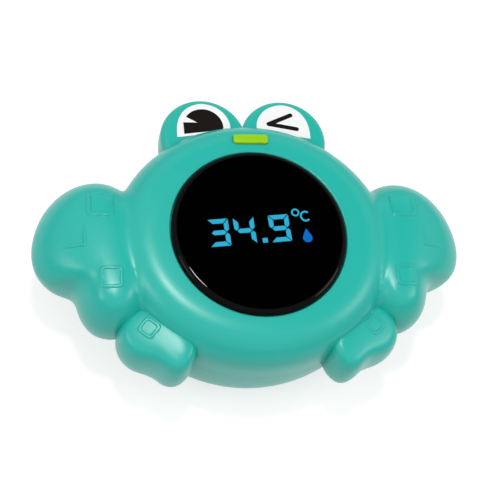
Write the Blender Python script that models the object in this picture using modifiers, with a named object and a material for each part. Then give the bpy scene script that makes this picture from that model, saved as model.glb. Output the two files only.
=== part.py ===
"""Floating baby bath thermometer in the shape of a winking frog, built as separate parts.

The frog lies on its back: the round touch display looks up, the base is the flat face at z = 0.
X runs across the arms, Y runs towards the eyes. All lengths below are in millimetres.
"""
import bpy
import bmesh
from math import cos, sin, pi, radians, hypot
from mathutils import Matrix, Vector

MM = 0.001

# Main sizes
HEIGHT = 38.0                 # base to the top of the lens
GAP = 0.3                     # clearance between parts that touch or are cut from one form
WALL = 2.4                    # shell wall
LENS_R = 25.3
LENS_T = 2.0
LENS_PROUD = 1.2              # how far the lens stands out of its ring
BODY_TOP = HEIGHT - LENS_PROUD
BODY_FLAT = LENS_R + 5.9      # radius where the top and the base turn flat
BODY_BULGE = 10.0             # what the widest line adds to that radius
BODY_WIDE = 24.0              # height of the widest line
BODY_OVAL = 0.92              # Y size of the body as a share of its X size
BODY_POWER = 0.7              # fullness of the body's section
BODY_STEPS = 32
HOLLOW_STEPS = 22
SEAL_STEPS = 28
PARTING = BODY_WIDE - 4.0     # plane where the two shells meet

# Lens and display
LENS_BOTTOM = HEIGHT - LENS_T
TAPE_T = 0.5
TAPE_R = LENS_R - GAP
TAPE_IN = LENS_R - 2.7
SEAT_TOP = LENS_BOTTOM - TAPE_T - 2 * GAP
SEAT_T = 2.2
SEAT_R = LENS_R + 3.7
DISPLAY_AT = (0.45, 1.5)      # centre of the digits
DISPLAY_TURN = radians(4.9)   # the digits stand a little turned in the round window
BLOCK_SIZE = (36.0, 17.0)
BLOCK_TOP = SEAT_TOP + 0.1
GLYPH_TOP = BLOCK_TOP + GAP
DIGIT_W, DIGIT_H, STROKE = 5.4, 8.6, 1.0
SLANT = 0.12

# Circuit board and what it carries
BOARD_T = 1.6
BOARD_TOP = SEAT_TOP - 7.6
BOARD_R = LENS_R - 0.8
BLOCK_BOTTOM = BOARD_TOP + GAP
POST_RING = BOARD_R - 3.2      # the posts stand on this circle
BOARD_POSTS = [(POST_RING * cos(radians(a)), POST_RING * sin(radians(a))) for a in (56.3, 123.7, 270.0)]
POST_R = 2.5
THREAD_R = 0.8                # small screws; their holes are one gap wider
TOUCH_AT = (0.0, -13.5)
TOUCH_R = 2.2
WIRE_R = 0.3
BUZZER_AT, BUZZER_R, BUZZER_T = (-12.0, -5.0), 6.0, 4.5
CHIP_AT, CHIP_SIZE, CHIP_T = (9.0, 3.0), (8.0, 8.0), 1.2

# Battery bay and door: the cells set the bay, and the bay sets the door
CELL_R, CELL_L = 5.25, 44.5
CELL_STEP = 0.8               # height of the small pole
CELL_Y = CELL_R + 0.35        # the two cells lie side by side
PLATE_T = 0.4
SPRING_ROOM = 2.8
BAY_SIZE = (CELL_L + 2 * PLATE_T + SPRING_ROOM + 2.5, 2 * CELL_Y + 2 * CELL_R + 1.9)
BAY_CORNER = 2.0
BAY_WALL = 1.5
DOOR_LEDGE = 1.7
DOOR_AT_Y = 2.0
DOOR_SIZE = (BAY_SIZE[0] + 2 * DOOR_LEDGE, BAY_SIZE[1] + 2 * DOOR_LEDGE)
DOOR_T = 1.8
DOOR_CORNER = 5.0
SEAL_T = 0.6
BAY_FLOOR = DOOR_T + SEAL_T + 2 * GAP
CELL_Z = DOOR_T + CELL_R + 0.85
BAY_TOP = CELL_Z + CELL_R + 0.85
PLATE_X = BAY_SIZE[0] / 2 - GAP - PLATE_T / 2
TAB_R = 4.4
TAB_Y = DOOR_AT_Y + DOOR_SIZE[1] / 2 + TAB_R - 1.0

# Water side of the base
CAP_AT = (0.0, -20.0)
CAP_R = 3.2
STUD_X, STUD_Y = 9.0, -19.5
STUD_R = 2.2

# Case screws stand in the arms and the legs
CASE_SCREWS = [(47.0, 3.0), (-47.0, 3.0), (31.0, -28.5), (-31.0, -28.5)]
CASE_SEAT = PARTING - 5.0     # floor of the counterbore
CASE_R = 1.1
CASE_HEAD_R = 2.3
CASE_TIP = PARTING + 5.4

# Limbs: outline in plan at the widest level, the line the rings close in on, and the rings.
# Each ring is (height, share of the way from that line to the outline).
ARM_TOP = BODY_TOP - 1.6
ARM_OUTLINE = [
    (37.0, 20.2), (45.6, 22.2), (54.2, 19.5), (61.0, 12.4), (64.4, 3.2), (64.3, -5.2),
    (59.5, -11.0), (52.2, -11.3), (51.5, -17.9), (48.0, -23.9), (41.0, -26.4),
    (32.0, -23.0), (26.5, -8.0), (27.5, 10.0)]
ARM_SPINE = [(46.0, 8.0), (43.0, -6.0), (42.0, -16.0)]
ARM_RINGS = [(PARTING - 11.0, 0.68), (PARTING, 1.02), (ARM_TOP - 7.7, 0.92), (ARM_TOP - 2.4, 0.64),
             (ARM_TOP, 0.25)]
ARM_TILT = (-0.10, 0.0)
LEG_TOP = BODY_TOP - 6.2
LEG_OUTLINE = [
    (41.0, -22.5), (41.2, -29.6), (36.8, -34.6), (30.9, -35.0), (27.6, -39.0), (23.4, -39.9),
    (19.5, -36.6), (16.5, -28.0), (32.0, -15.0)]
LEG_SPINE = [(34.0, -27.0), (26.0, -33.5)]
LEG_RINGS = [(PARTING - 9.5, 0.70), (PARTING - 0.5, 1.02), (LEG_TOP - 4.6, 0.96), (LEG_TOP - 0.8, 0.82),
             (LEG_TOP, 0.40)]
LEG_TILT = (-0.16, 0.10)
ARM_POCKET = [(33.0, 11.0), (40.0, 15.6), (48.0, 16.6), (54.6, 12.6), (58.6, 3.0), (58.0, -5.0),
              (51.6, -7.6), (47.8, -14.0), (44.8, -20.6), (38.4, -20.6), (31.0, -12.0)]
ARM_POCKET_RINGS = [(PARTING - 6.2, -4.5), (PARTING - 3.0, 0.0), (ARM_TOP - 9.7, 0.0), (ARM_TOP - 4.4, -4.8)]
LEG_POCKET = [(35.0, -23.0), (36.6, -28.6), (32.0, -31.4), (27.5, -33.6), (24.0, -36.6), (22.0, -33.0),
              (25.0, -26.0)]
LEG_POCKET_RINGS = [(PARTING - 5.8, -2.0), (PARTING - 3.0, 0.0), (LEG_TOP - 6.6, 0.0), (LEG_TOP - 3.6, -1.6)]
CASE_POST_TOPS = [ARM_TOP - 2.2, ARM_TOP - 2.2, LEG_TOP - 2.2, LEG_TOP - 2.2]

# Eye mounds
EYE_AT = (12.2, 34.4)
EYE_TOP = BODY_TOP - 7.0
EYE_PROFILE = [(0.0, PARTING - 10.0), (8.0, PARTING - 9.0), (12.0, PARTING - 4.0), (12.9, EYE_TOP - 6.8),
               (12.8, EYE_TOP - 2.2), (12.1, EYE_TOP - 0.6), (10.9, EYE_TOP), (0.0, EYE_TOP)]

# Face
WHITE_OUTLINE = [
    (4.0, 36.2), (4.2, 39.4), (5.6, 42.2), (7.8, 44.2), (10.4, 45.2), (13.0, 45.4), (15.6, 44.6),
    (17.9, 42.9), (19.5, 40.3), (20.2, 37.4), (20.3, 34.1)]
WHITE_T = 1.1
PRINT_T = 0.4
PUPIL_AT = (-12.2, 37.6)
PUPIL_R = 6.0
PUPIL_FLAT = 35.2
WINK = [(14.8, 42.0), (7.8, 38.9), (16.3, 37.3)]
WINK_W = 1.3
MOUTH_AT_Y = LENS_R + 4.4
MOUTH_SIZE = (10.2, 2.8)
MOUTH_TOP = BODY_TOP + 0.9
MOUTH_FLOOR = BODY_TOP - 1.5

# Raised marks on the limbs: centre, size, turn in degrees, kind, height of the limb there, and its slopes
MARKS = [((44.6, 9.8), 6.8, 3.0, "frame", ARM_TOP - 0.8, (-0.03, -0.15)),
         ((42.5, -12.65), 5.5, 1.5, "frame", ARM_TOP - 0.2, (-0.10, 0.06)),
         ((32.4, -26.2), 4.2, 40.0, "frame", LEG_TOP + 0.2, (-0.23, 0.12)),
         ((49.37, -2.63), 5.4, 0.0, "corner", ARM_TOP - 0.8, (-0.36, 0.03))]
MARK_W = 0.7
MARK_H = 0.4
MARK_ROOT = 1.2               # how deep a mark is rooted in the limb


def clear_scene():
    for item in list(bpy.data.objects):
        bpy.data.objects.remove(item, do_unlink=True)


def new_collection(name, hidden=False):
    group = bpy.data.collections.new(name)
    bpy.context.scene.collection.children.link(group)
    group.hide_render = hidden
    return group


def material(name, color, roughness=0.4, metallic=0.0, emission=None):
    mat = bpy.data.materials.new(name)
    mat.use_nodes = True
    shader = mat.node_tree.nodes["Principled BSDF"]
    shader.inputs["Base Color"].default_value = (*color, 1.0)
    shader.inputs["Roughness"].default_value = roughness
    shader.inputs["Metallic"].default_value = metallic
    if emission:
        shader.inputs["Emission Color"].default_value = (*color, 1.0)
        shader.inputs["Emission Strength"].default_value = emission
    mat.diffuse_color = (*color, 1.0)
    return mat


def add(name, mesh_data, mat=None, tool=False):
    """Links a mesh as a part, or as a cutter that doesn't render."""
    item = bpy.data.objects.new(name, mesh_data)
    (TOOLS if tool else PARTS).objects.link(item)
    if tool:
        item.display_type = "WIRE"
        item.hide_render = True
    if mat:
        item.data.materials.append(mat)
    return item


def finish(bm, name):
    """Closes off a bmesh: one clean mesh that faces outwards, scaled to metres."""
    bmesh.ops.remove_doubles(bm, verts=bm.verts, dist=1e-5)
    bmesh.ops.recalc_face_normals(bm, faces=bm.faces)
    bmesh.ops.scale(bm, vec=Vector((MM, MM, MM)), verts=bm.verts)
    data = bpy.data.meshes.new(name)
    bm.to_mesh(data)
    bm.free()
    return data


def spin(bm, profile, steps, at=(0.0, 0.0), oval=1.0):
    """Turns a profile of (radius, height) round the vertical axis."""
    verts = [bm.verts.new((r, 0.0, z)) for r, z in profile]
    edges = [bm.edges.new(pair) for pair in zip(verts, verts[1:])]
    if profile[0][0] > 1e-6:
        edges.append(bm.edges.new((verts[-1], verts[0])))
    made = bmesh.ops.spin(bm, geom=verts + edges, cent=(0, 0, 0), axis=(0, 0, 1), angle=2 * pi,
                          steps=steps, use_merge=True)
    ends = {v for e in edges for v in e.verts} | {v for v in made["geom_last"]
                                                 if isinstance(v, bmesh.types.BMVert)}
    reach = set()
    todo = list(ends)
    while todo:
        v = todo.pop()
        if v in reach:
            continue
        reach.add(v)
        todo += [e.other_vert(v) for e in v.link_edges]
    for v in reach:
        v.co = Vector((v.co.x + at[0], v.co.y * oval + at[1], v.co.z))
    bmesh.ops.remove_doubles(bm, verts=list(reach), dist=1e-4)


def slab(bm, points, low, high):
    """Extrudes a closed outline between two heights."""
    base = [bm.verts.new((x, y, low)) for x, y in points]
    face = bm.faces.new(base)
    made = bmesh.ops.extrude_face_region(bm, geom=[face])
    top = [v for v in made["geom"] if isinstance(v, bmesh.types.BMVert)]
    bmesh.ops.translate(bm, vec=(0, 0, high - low), verts=top)


def drum(bm, at, radius, low, high, steps=24):
    slab(bm, circle(at, radius, steps, pi / steps), low, high)


def circle(at, radius, steps=24, start=0.0):
    return [(at[0] + radius * cos(start + 2 * pi * k / steps),
             at[1] + radius * sin(start + 2 * pi * k / steps)) for k in range(steps)]


def rounded(at, size, corner, steps=2):
    """Outline of a rectangle with round corners."""
    half_x, half_y = size[0] / 2 - corner, size[1] / 2 - corner
    points = []
    for turn, (sx, sy) in enumerate([(1, 1), (-1, 1), (-1, -1), (1, -1)]):
        for k in range(steps + 1):
            a = (turn + k / steps) * pi / 2
            points.append((at[0] + sx * half_x + corner * cos(a),
                           at[1] + sy * half_y + corner * sin(a)))
    return points


def turned(points, angle, about=(0.0, 0.0)):
    c, s = cos(angle), sin(angle)
    return [(about[0] + (x - about[0]) * c - (y - about[1]) * s,
             about[1] + (x - about[0]) * s + (y - about[1]) * c) for x, y in points]


def grown(points, amount):
    """Moves a closed outline outwards by an amount, corner by corner."""
    area = sum(x0 * y1 - x1 * y0 for (x0, y0), (x1, y1) in zip(points, points[1:] + points[:1]))
    side = 1.0 if area > 0 else -1.0
    out = []
    for k, (x, y) in enumerate(points):
        ax, ay = points[k - 1]
        bx, by = points[(k + 1) % len(points)]
        d1, d2 = hypot(x - ax, y - ay), hypot(bx - x, by - y)
        n1 = ((y - ay) / d1 * side, -(x - ax) / d1 * side)
        n2 = ((by - y) / d2 * side, -(bx - x) / d2 * side)
        scale = amount / max(0.35, 1.0 + n1[0] * n2[0] + n1[1] * n2[1])
        out.append((x + (n1[0] + n2[0]) * scale, y + (n1[1] + n2[1]) * scale))
    return out


def mirrored(points):
    return [(-x, y) for x, y in reversed(points)]


def body_section(inset):
    """Half section of the body, from the base's centre to the top's centre."""
    bulge = BODY_BULGE - inset
    points = [(0.0, inset)]
    count = 6 if inset else 9
    for k in range(count + 1):
        a = -pi / 2 + pi * k / count
        c, s = max(cos(a), 0.0), sin(a)
        tall = (BODY_TOP - BODY_WIDE if s > 0 else BODY_WIDE) - inset
        rise = tall * abs(s) ** BODY_POWER * (1 if s > 0 else -1)
        points.append((BODY_FLAT + bulge * c ** BODY_POWER, BODY_WIDE + rise))
    points.append((0.0, BODY_TOP - inset))
    return points


def limb(bm, outline, spine, rings, tilt, side, inset=0.0):
    """Cage of a puffed limb; a Subdivision modifier rounds it."""
    def foot(x, y):
        best = None
        for (ax, ay), (bx, by) in zip(spine, spine[1:]):
            t = ((x - ax) * (bx - ax) + (y - ay) * (by - ay)) / ((bx - ax) ** 2 + (by - ay) ** 2)
            t = min(1.0, max(0.0, t))
            px, py = ax + t * (bx - ax), ay + t * (by - ay)
            d = hypot(x - px, y - py)
            if best is None or d < best[0]:
                best = (d, px, py)
        return best[1:]

    feet = [foot(x, y) for x, y in outline]
    outer = grown(outline, -inset) if inset else outline
    low, high = rings[0][0], rings[-1][0]
    loops = []
    for z, share in rings:
        level = z + inset * (1 if z < PARTING else -1) * min(1.0, abs(z - PARTING) / 6.0)
        loop = []
        for (x, y), (px, py) in zip(outer, feet):
            qx, qy = px + (x - px) * share, py + (y - py) * share
            lean = (tilt[0] * (qx - spine[0][0]) + tilt[1] * (qy - spine[0][1])) if z > PARTING else 0
            loop.append(bm.verts.new((side * qx, qy, level + lean * (z - PARTING) / (high - PARTING))))
        loops.append(loop)
    count = len(outline)
    for lower, upper in zip(loops, loops[1:]):
        for k in range(count):
            j = (k + 1) % count
            bm.faces.new((lower[k], lower[j], upper[j], upper[k]))
    bm.faces.new(loops[0])
    bm.faces.new(list(reversed(loops[-1])))


def facet(item):
    """Splits bent faces into flat ones, so that each cut sees the same surface."""
    item.modifiers.new("facets", "TRIANGULATE")


def subdivide(item, levels=1):
    mod = item.modifiers.new("round", "SUBSURF")
    mod.levels = levels
    mod.render_levels = levels
    facet(item)


def boolean(item, tool, kind="DIFFERENCE"):
    mod = item.modifiers.new(kind.lower() + "_" + tool.name, "BOOLEAN")
    mod.operation = kind
    mod.solver = "EXACT"
    mod.object = tool


def tool_from(name, build):
    bm = bmesh.new()
    build(bm)
    return add(name, finish(bm, name), tool=True)


def part_from(name, build, mat):
    bm = bmesh.new()
    build(bm)
    return add(name, finish(bm, name), mat)


def bevel(item, width, segments=1, angle=40.0):
    mod = item.modifiers.new("edge", "BEVEL")
    mod.width = width * MM
    mod.segments = segments
    mod.limit_method = "ANGLE"
    mod.angle_limit = radians(angle)


def wire(name, points, radius, mat, sides=3):
    """Round wire along a path, with closed ends."""
    bm = bmesh.new()
    path = [Vector(p) for p in points]
    loops = []
    out = Vector((0, 0, 1)).cross(path[1] - path[0])
    if out.length < 1e-4:
        out = Vector((1, 0, 0))
    for k, spot in enumerate(path):
        ahead = (path[min(k + 1, len(path) - 1)] - path[max(k - 1, 0)]).normalized()
        out = (out - ahead * out.dot(ahead)).normalized()
        up = ahead.cross(out)
        loops.append([bm.verts.new(spot + radius * (cos(2 * pi * j / sides) * out + sin(2 * pi * j / sides) * up))
                      for j in range(sides)])
    for a, b in zip(loops, loops[1:]):
        for j in range(sides):
            i = (j + 1) % sides
            bm.faces.new((a[j], a[i], b[i]))
            bm.faces.new((a[j], b[i], b[j]))
    bm.faces.new(loops[0])
    bm.faces.new(list(reversed(loops[-1])))
    return add(name, finish(bm, name), mat)


clear_scene()
PARTS = new_collection("bath_thermometer")
TOOLS = new_collection("cutters", hidden=True)

TEAL = material("teal_plastic", (0.030, 0.450, 0.390), 0.38)
BLACK_GLASS = material("smoked_lens", (0.004, 0.003, 0.005), 0.05)
FOAM = material("black_tape", (0.02, 0.02, 0.02), 0.8)
WHITE = material("white_plastic", (0.87, 0.88, 0.88), 0.35)
INK = material("black_ink", (0.012, 0.008, 0.007), 0.4)
LIME = material("lime_plastic", (0.45, 0.66, 0.004), 0.38)
BLACK = material("black_plastic", (0.015, 0.015, 0.016), 0.5)
GLOW = material("blue_glow", (0.03, 0.45, 0.78), 0.4, emission=3.0)
DEEP_GLOW = material("deep_blue_glow", (0.01, 0.16, 0.72), 0.4, emission=3.0)
BOARD = material("green_board", (0.01, 0.14, 0.05), 0.5)
STEEL = material("steel", (0.60, 0.60, 0.58), 0.25, 1.0)
SPRING = material("spring_steel", (0.55, 0.54, 0.50), 0.3, 1.0)
SHELL_BLACK = material("buzzer_case", (0.03, 0.03, 0.03), 0.45)
RUBBER = material("grey_rubber", (0.20, 0.21, 0.21), 0.8)
EPOXY = material("epoxy", (0.05, 0.04, 0.03), 0.35)
CELL = material("cell_sleeve", (0.02, 0.10, 0.30), 0.35)


# Outer form of the two shells

def limbs(bm, inset=0.0, arms=True, legs=True):
    for side in (1, -1):
        if arms:
            limb(bm, ARM_OUTLINE, ARM_SPINE, ARM_RINGS, ARM_TILT, side, inset)
        if legs:
            limb(bm, LEG_OUTLINE, LEG_SPINE, LEG_RINGS, LEG_TILT, side, inset)


body_form = tool_from("body_form", lambda bm: spin(bm, body_section(0.0), BODY_STEPS, oval=BODY_OVAL))
arm_form = tool_from("arm_form", lambda bm: limbs(bm, legs=False))
leg_form = tool_from("leg_form", lambda bm: limbs(bm, arms=False))
subdivide(arm_form)
subdivide(leg_form)
eye_right_form = tool_from("eye_right_form", lambda bm: spin(bm, EYE_PROFILE, 18, EYE_AT))
eye_left_form = tool_from("eye_left_form", lambda bm: spin(bm, EYE_PROFILE, 18, (-EYE_AT[0], EYE_AT[1])))


# Raised marks: frames and corners with a flat top, laid along the limb's surface

def square(at, size):
    half = size / 2
    return [(at[0] + sx * half, at[1] + sy * half) for sx, sy in ((1, 1), (-1, 1), (-1, -1), (1, -1))]


def hollow_slab(bm, outer, inner, low, high):
    """A closed frame between two outlines that have the same number of points."""
    rows = [[bm.verts.new((x, y, z)) for x, y in ring]
            for ring, z in ((outer, low), (outer, high), (inner, high), (inner, low))]
    for a, b in zip(rows, rows[1:] + rows[:1]):
        for k in range(len(a)):
            j = (k + 1) % len(a)
            bm.faces.new((a[k], a[j], b[j], b[k]))


def mark_bars(bm):
    for (x, y), size, turn, kind, level, slope in MARKS:
        for side in (1, -1):
            at = (side * x, y)
            angle = radians(turn) * side
            made = set(bm.verts)
            if kind == "frame":
                hollow_slab(bm, turned(square(at, size + MARK_W), angle, at),
                            turned(square(at, size - MARK_W), angle, at), -MARK_ROOT, MARK_H)
            else:
                w = MARK_W / 2
                shape = [(-w, size), (-w, -w), (size, -w), (size, w), (w, w), (w, size)]
                slab(bm, [(at[0] + side * px, at[1] + py) for px, py in shape], -MARK_ROOT, MARK_H)
            for v in set(bm.verts) - made:
                v.co.z += level + slope[0] * (v.co.x - at[0]) * side + slope[1] * (v.co.y - at[1])


marks = tool_from("marks", mark_bars)


# Hollow of the body and the pockets of the limbs, which keep the body's wall whole

def pockets_of(outline, rings):
    def build(bm):
        for side in (1, -1):
            loops = [[bm.verts.new((side * x, y, z)) for x, y in grown(outline, out)] for z, out in rings]
            for low, high in zip(loops, loops[1:]):
                for k in range(len(low)):
                    j = (k + 1) % len(low)
                    bm.faces.new((low[k], low[j], high[j], high[k]))
            bm.faces.new(loops[0])
            bm.faces.new(list(reversed(loops[-1])))
    return build


arm_hollow = tool_from("arm_hollow", pockets_of(ARM_POCKET, ARM_POCKET_RINGS))
leg_hollow = tool_from("leg_hollow", pockets_of(LEG_POCKET, LEG_POCKET_RINGS))
for item in (arm_hollow, leg_hollow):
    facet(item)
    boolean(item, body_form)


def room(name, standing):
    """Room inside a shell: the body's hollow and the limbs' pockets, less what stands in them."""
    item = tool_from(name, lambda bm: spin(bm, body_section(WALL), HOLLOW_STEPS, oval=BODY_OVAL))
    for tool in (arm_hollow, leg_hollow):
        boolean(item, tool, "UNION")
    for tool in standing:
        boolean(item, tool)
    return item


upper_half = tool_from("upper_half", lambda bm: drum(bm, (0, 0), 3 * BODY_FLAT, PARTING - GAP / 2, 2 * HEIGHT, 12))
lower_half = tool_from("lower_half", lambda bm: drum(bm, (0, 0), 3 * BODY_FLAT, -HEIGHT, PARTING + GAP / 2, 12))


def seat_and_posts(bm):
    drum(bm, (0, 0), SEAT_R, SEAT_TOP - SEAT_T, BODY_TOP - 0.6, 20)


def board_posts(bm):
    for at in BOARD_POSTS:
        drum(bm, at, POST_R, BOARD_TOP + GAP, SEAT_TOP - 0.5, 8)


def case_posts_up(bm):
    for at, top in zip(CASE_SCREWS, CASE_POST_TOPS):
        drum(bm, at, CASE_R + GAP + 1.7, PARTING - 2, top, 8)


def lens_cut(bm):
    drum(bm, (0, 0), LENS_R + GAP, SEAT_TOP, HEIGHT + 4, 36)


def seat_cuts(bm):
    window = turned(rounded(DISPLAY_AT, [s + 2 * GAP for s in BLOCK_SIZE], 1.6, 1), DISPLAY_TURN,
                    DISPLAY_AT)
    slab(bm, window, BOARD_TOP, SEAT_TOP + 1)
    drum(bm, TOUCH_AT, TOUCH_R + 2 * GAP, BOARD_TOP, SEAT_TOP + 1, 10)


def screw_cuts(bm):
    for at in BOARD_POSTS:
        drum(bm, at, THREAD_R + GAP, BOARD_TOP, SEAT_TOP - 0.9, 6)
    for at in CASE_SCREWS:
        drum(bm, at, CASE_R + GAP, PARTING - 1, CASE_TIP + GAP, 6)


def face_cuts(bm):
    slab(bm, rounded((0, MOUTH_AT_Y), [s + 2 * GAP for s in MOUTH_SIZE], 0.9, 1), MOUTH_FLOOR, HEIGHT + 2)
    for outline in (WHITE_OUTLINE, mirrored(WHITE_OUTLINE)):
        slab(bm, grown(outline, GAP), EYE_TOP - WHITE_T, HEIGHT)


case_posts = tool_from("case_posts", case_posts_up)
seat = tool_from("seat", seat_and_posts)
posts = tool_from("posts", board_posts)
lens_pocket = tool_from("lens_pocket", lens_cut)
seat_holes = tool_from("seat_holes", seat_cuts)
screw_holes = tool_from("screw_holes", screw_cuts)
face_pockets = tool_from("face_pockets", face_cuts)

front_shell = part_from("front_shell",
                        lambda bm: spin(bm, body_section(0.0), BODY_STEPS, oval=BODY_OVAL), TEAL)
for tool in (arm_form, leg_form, eye_right_form, eye_left_form, marks):
    boolean(front_shell, tool, "UNION")
front_room = room("front_room", (seat, posts, case_posts))
for tool in (front_room, lower_half, lens_pocket, seat_holes, screw_holes, face_pockets):
    boolean(front_shell, tool)


# Rear shell: bowl, limb backs, battery bay, screw posts and sensor boss

def bay_rim(bm):
    wide = [s + 2 * (GAP + BAY_WALL) for s in DOOR_SIZE]
    slab(bm, rounded((0, DOOR_AT_Y), wide, DOOR_CORNER + GAP + BAY_WALL), 0.6, BAY_FLOOR + BAY_WALL)


def bay_tub(bm):
    tall = [s + 2 * BAY_WALL for s in BAY_SIZE]
    slab(bm, rounded((0, DOOR_AT_Y), tall, BAY_CORNER + BAY_WALL, 1), 1.0, BAY_TOP + BAY_WALL)


def door_cut(bm):
    slab(bm, rounded((0, DOOR_AT_Y), [s + 2 * GAP for s in DOOR_SIZE], DOOR_CORNER + GAP), -2, BAY_FLOOR)


def well_cut(bm):
    slab(bm, rounded((0, DOOR_AT_Y), BAY_SIZE, BAY_CORNER, 1), 1, BAY_TOP)


def rear_posts(bm):
    for at in CASE_SCREWS:
        drum(bm, at, CASE_HEAD_R + GAP + 1.2, CASE_SEAT - 5.6, PARTING + 2, 8)
    drum(bm, (0, TAB_Y), 3.4, 1.3, 11.0, 10)
    drum(bm, CAP_AT, CAP_R + GAP + 2.6, 1.3, 4.5, 12)


def wide_cuts(bm):
    for at in CASE_SCREWS:
        drum(bm, at, CASE_HEAD_R + GAP, -2, CASE_SEAT, 8)
    drum(bm, (0, TAB_Y), TAB_R + GAP, -2, DOOR_T + GAP, 14)
    drum(bm, CAP_AT, CAP_R + GAP + 1.3, -2, 1.2, 14)
    for x in (STUD_X, -STUD_X):
        drum(bm, (x, STUD_Y), STUD_R + GAP, -2, 1.2, 10)


def narrow_cuts(bm):
    for at in CASE_SCREWS:
        drum(bm, at, CASE_R + GAP, CASE_SEAT - 1, PARTING + 3, 6)
    drum(bm, (0, TAB_Y), CASE_R + GAP, 1, 9.0, 6)
    drum(bm, CAP_AT, CAP_R + GAP, 0, 6, 12)
    for x in (STUD_X, -STUD_X):
        drum(bm, (x, STUD_Y), 1.5, 0, 4, 6)


groove = tool_from("seal_groove", lambda bm: spin(bm, [
    (BODY_FLAT + BODY_BULGE - 1.85, PARTING - 1.35), (BODY_FLAT + BODY_BULGE - 0.55, PARTING - 1.35),
    (BODY_FLAT + BODY_BULGE - 0.55, PARTING + 1), (BODY_FLAT + BODY_BULGE - 1.85, PARTING + 1)],
    SEAL_STEPS, oval=BODY_OVAL))
rim = tool_from("bay_rim", bay_rim)
tub = tool_from("bay_tub", bay_tub)
door_pocket = tool_from("door_pocket", door_cut)
bay_well = tool_from("bay_well", well_cut)
rear_post = tool_from("rear_posts", rear_posts)
rear_recesses = tool_from("rear_recesses", wide_cuts)
rear_holes = tool_from("rear_holes", narrow_cuts)

rear_shell = part_from("rear_shell",
                       lambda bm: spin(bm, body_section(0.0), BODY_STEPS, oval=BODY_OVAL), TEAL)
for tool in (arm_form, leg_form, eye_right_form, eye_left_form):
    boolean(rear_shell, tool, "UNION")
rear_room = room("rear_room", (rim, tub, rear_post))
for tool in (rear_room, upper_half, groove, door_pocket, bay_well, rear_recesses, rear_holes):
    boolean(rear_shell, tool)

part_from("seal_cord", lambda bm: spin(bm, [
    (BODY_FLAT + BODY_BULGE - 1.55, PARTING - 1.05), (BODY_FLAT + BODY_BULGE - 0.85, PARTING - 1.05),
    (BODY_FLAT + BODY_BULGE - 0.85, PARTING - 0.25), (BODY_FLAT + BODY_BULGE - 1.55, PARTING - 0.25)],
    SEAL_STEPS, oval=BODY_OVAL), RUBBER)


# Lens, tape, mouth and eyes

part_from("display_lens", lambda bm: spin(bm, [
    (0, LENS_BOTTOM), (LENS_R - 0.2, LENS_BOTTOM), (LENS_R, LENS_BOTTOM + 0.2), (LENS_R, HEIGHT - 0.9),
    (LENS_R - 0.7, HEIGHT), (0, HEIGHT)], 36), BLACK_GLASS)
part_from("lens_tape", lambda bm: spin(bm, [
    (TAPE_IN, SEAT_TOP + GAP), (TAPE_R, SEAT_TOP + GAP), (TAPE_R, SEAT_TOP + GAP + TAPE_T),
    (TAPE_IN, SEAT_TOP + GAP + TAPE_T)], 20), FOAM)
mouth = part_from("mouth_inlay", lambda bm: slab(bm, rounded((0, MOUTH_AT_Y), MOUTH_SIZE, 0.6, 2),
                                                 MOUTH_FLOOR + GAP, MOUTH_TOP), LIME)
bevel(mouth, 0.3, 1)

white_floor = EYE_TOP - WHITE_T + GAP
white_top = EYE_TOP + 0.15
eye_right = part_from("eye_white_right", lambda bm: slab(bm, WHITE_OUTLINE, white_floor, white_top), WHITE)
eye_left = part_from("eye_white_left",
                     lambda bm: slab(bm, mirrored(WHITE_OUTLINE), white_floor, white_top), WHITE)


def pupil_outline():
    """Round pupil with a flat foot and a wedge cut out towards the outer side."""
    points = []
    wedge_high, wedge_low = radians(146), radians(172)
    foot = PUPIL_FLAT - PUPIL_AT[1]
    start = -0.06
    for k in range(11):
        a = start + (wedge_high - start) * k / 10
        points.append((PUPIL_AT[0] + PUPIL_R * cos(a), PUPIL_AT[1] + PUPIL_R * sin(a)))
    points.append((PUPIL_AT[0] - 1.6, PUPIL_AT[1] + 1.4))
    points.append((PUPIL_AT[0] + PUPIL_R * cos(wedge_low), PUPIL_AT[1] + PUPIL_R * sin(wedge_low) + 0.6))
    points.append((PUPIL_AT[0] - PUPIL_R + 0.1, PUPIL_AT[1] + foot))
    points.append((PUPIL_AT[0] + PUPIL_R - 0.4, PUPIL_AT[1] + foot + 1.5))
    return points


def wink_outline():
    (ax, ay), (bx, by), (cx, cy) = WINK
    w = WINK_W / 2
    def side(p, q, s):
        d = hypot(q[0] - p[0], q[1] - p[1])
        return (-(q[1] - p[1]) / d * w * s, (q[0] - p[0]) / d * w * s)
    up = side((ax, ay), (bx, by), 1)
    low = side((bx, by), (cx, cy), 1)
    return [(ax - up[0], ay - up[1]), (ax + 0.5, ay + 0.25), (ax + up[0], ay + up[1]),
            (bx + 2.2, by + 0.05), (cx + low[0], cy + low[1]), (cx + 0.6, cy - 0.1),
            (cx - low[0], cy - low[1]), (bx + low[0] * 0.2, by - w), (bx - 0.6, by + 0.1),
            (bx, by + w)]


print_floor = white_top - PRINT_T
pupil_pocket = tool_from("pupil_pocket",
                         lambda bm: slab(bm, grown(pupil_outline(), GAP), print_floor - GAP, white_top + 1))
wink_pocket = tool_from("wink_pocket",
                        lambda bm: slab(bm, grown(wink_outline(), GAP), print_floor - GAP, white_top + 1))
boolean(eye_left, pupil_pocket)
boolean(eye_right, wink_pocket)
part_from("pupil_left", lambda bm: slab(bm, pupil_outline(), print_floor, white_top), INK)
part_from("wink_right", lambda bm: slab(bm, wink_outline(), print_floor, white_top), INK)


# Display block with one light guide for each sign

def local(points):
    """Puts points of the display's own plan into the object's plan."""
    leaned = [(x + SLANT * y, y) for x, y in points]
    return [(x + DISPLAY_AT[0], y + DISPLAY_AT[1]) for x, y in turned(leaned, DISPLAY_TURN)]


def straight(points):
    return [(x + DISPLAY_AT[0], y + DISPLAY_AT[1]) for x, y in turned(points, DISPLAY_TURN)]


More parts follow.
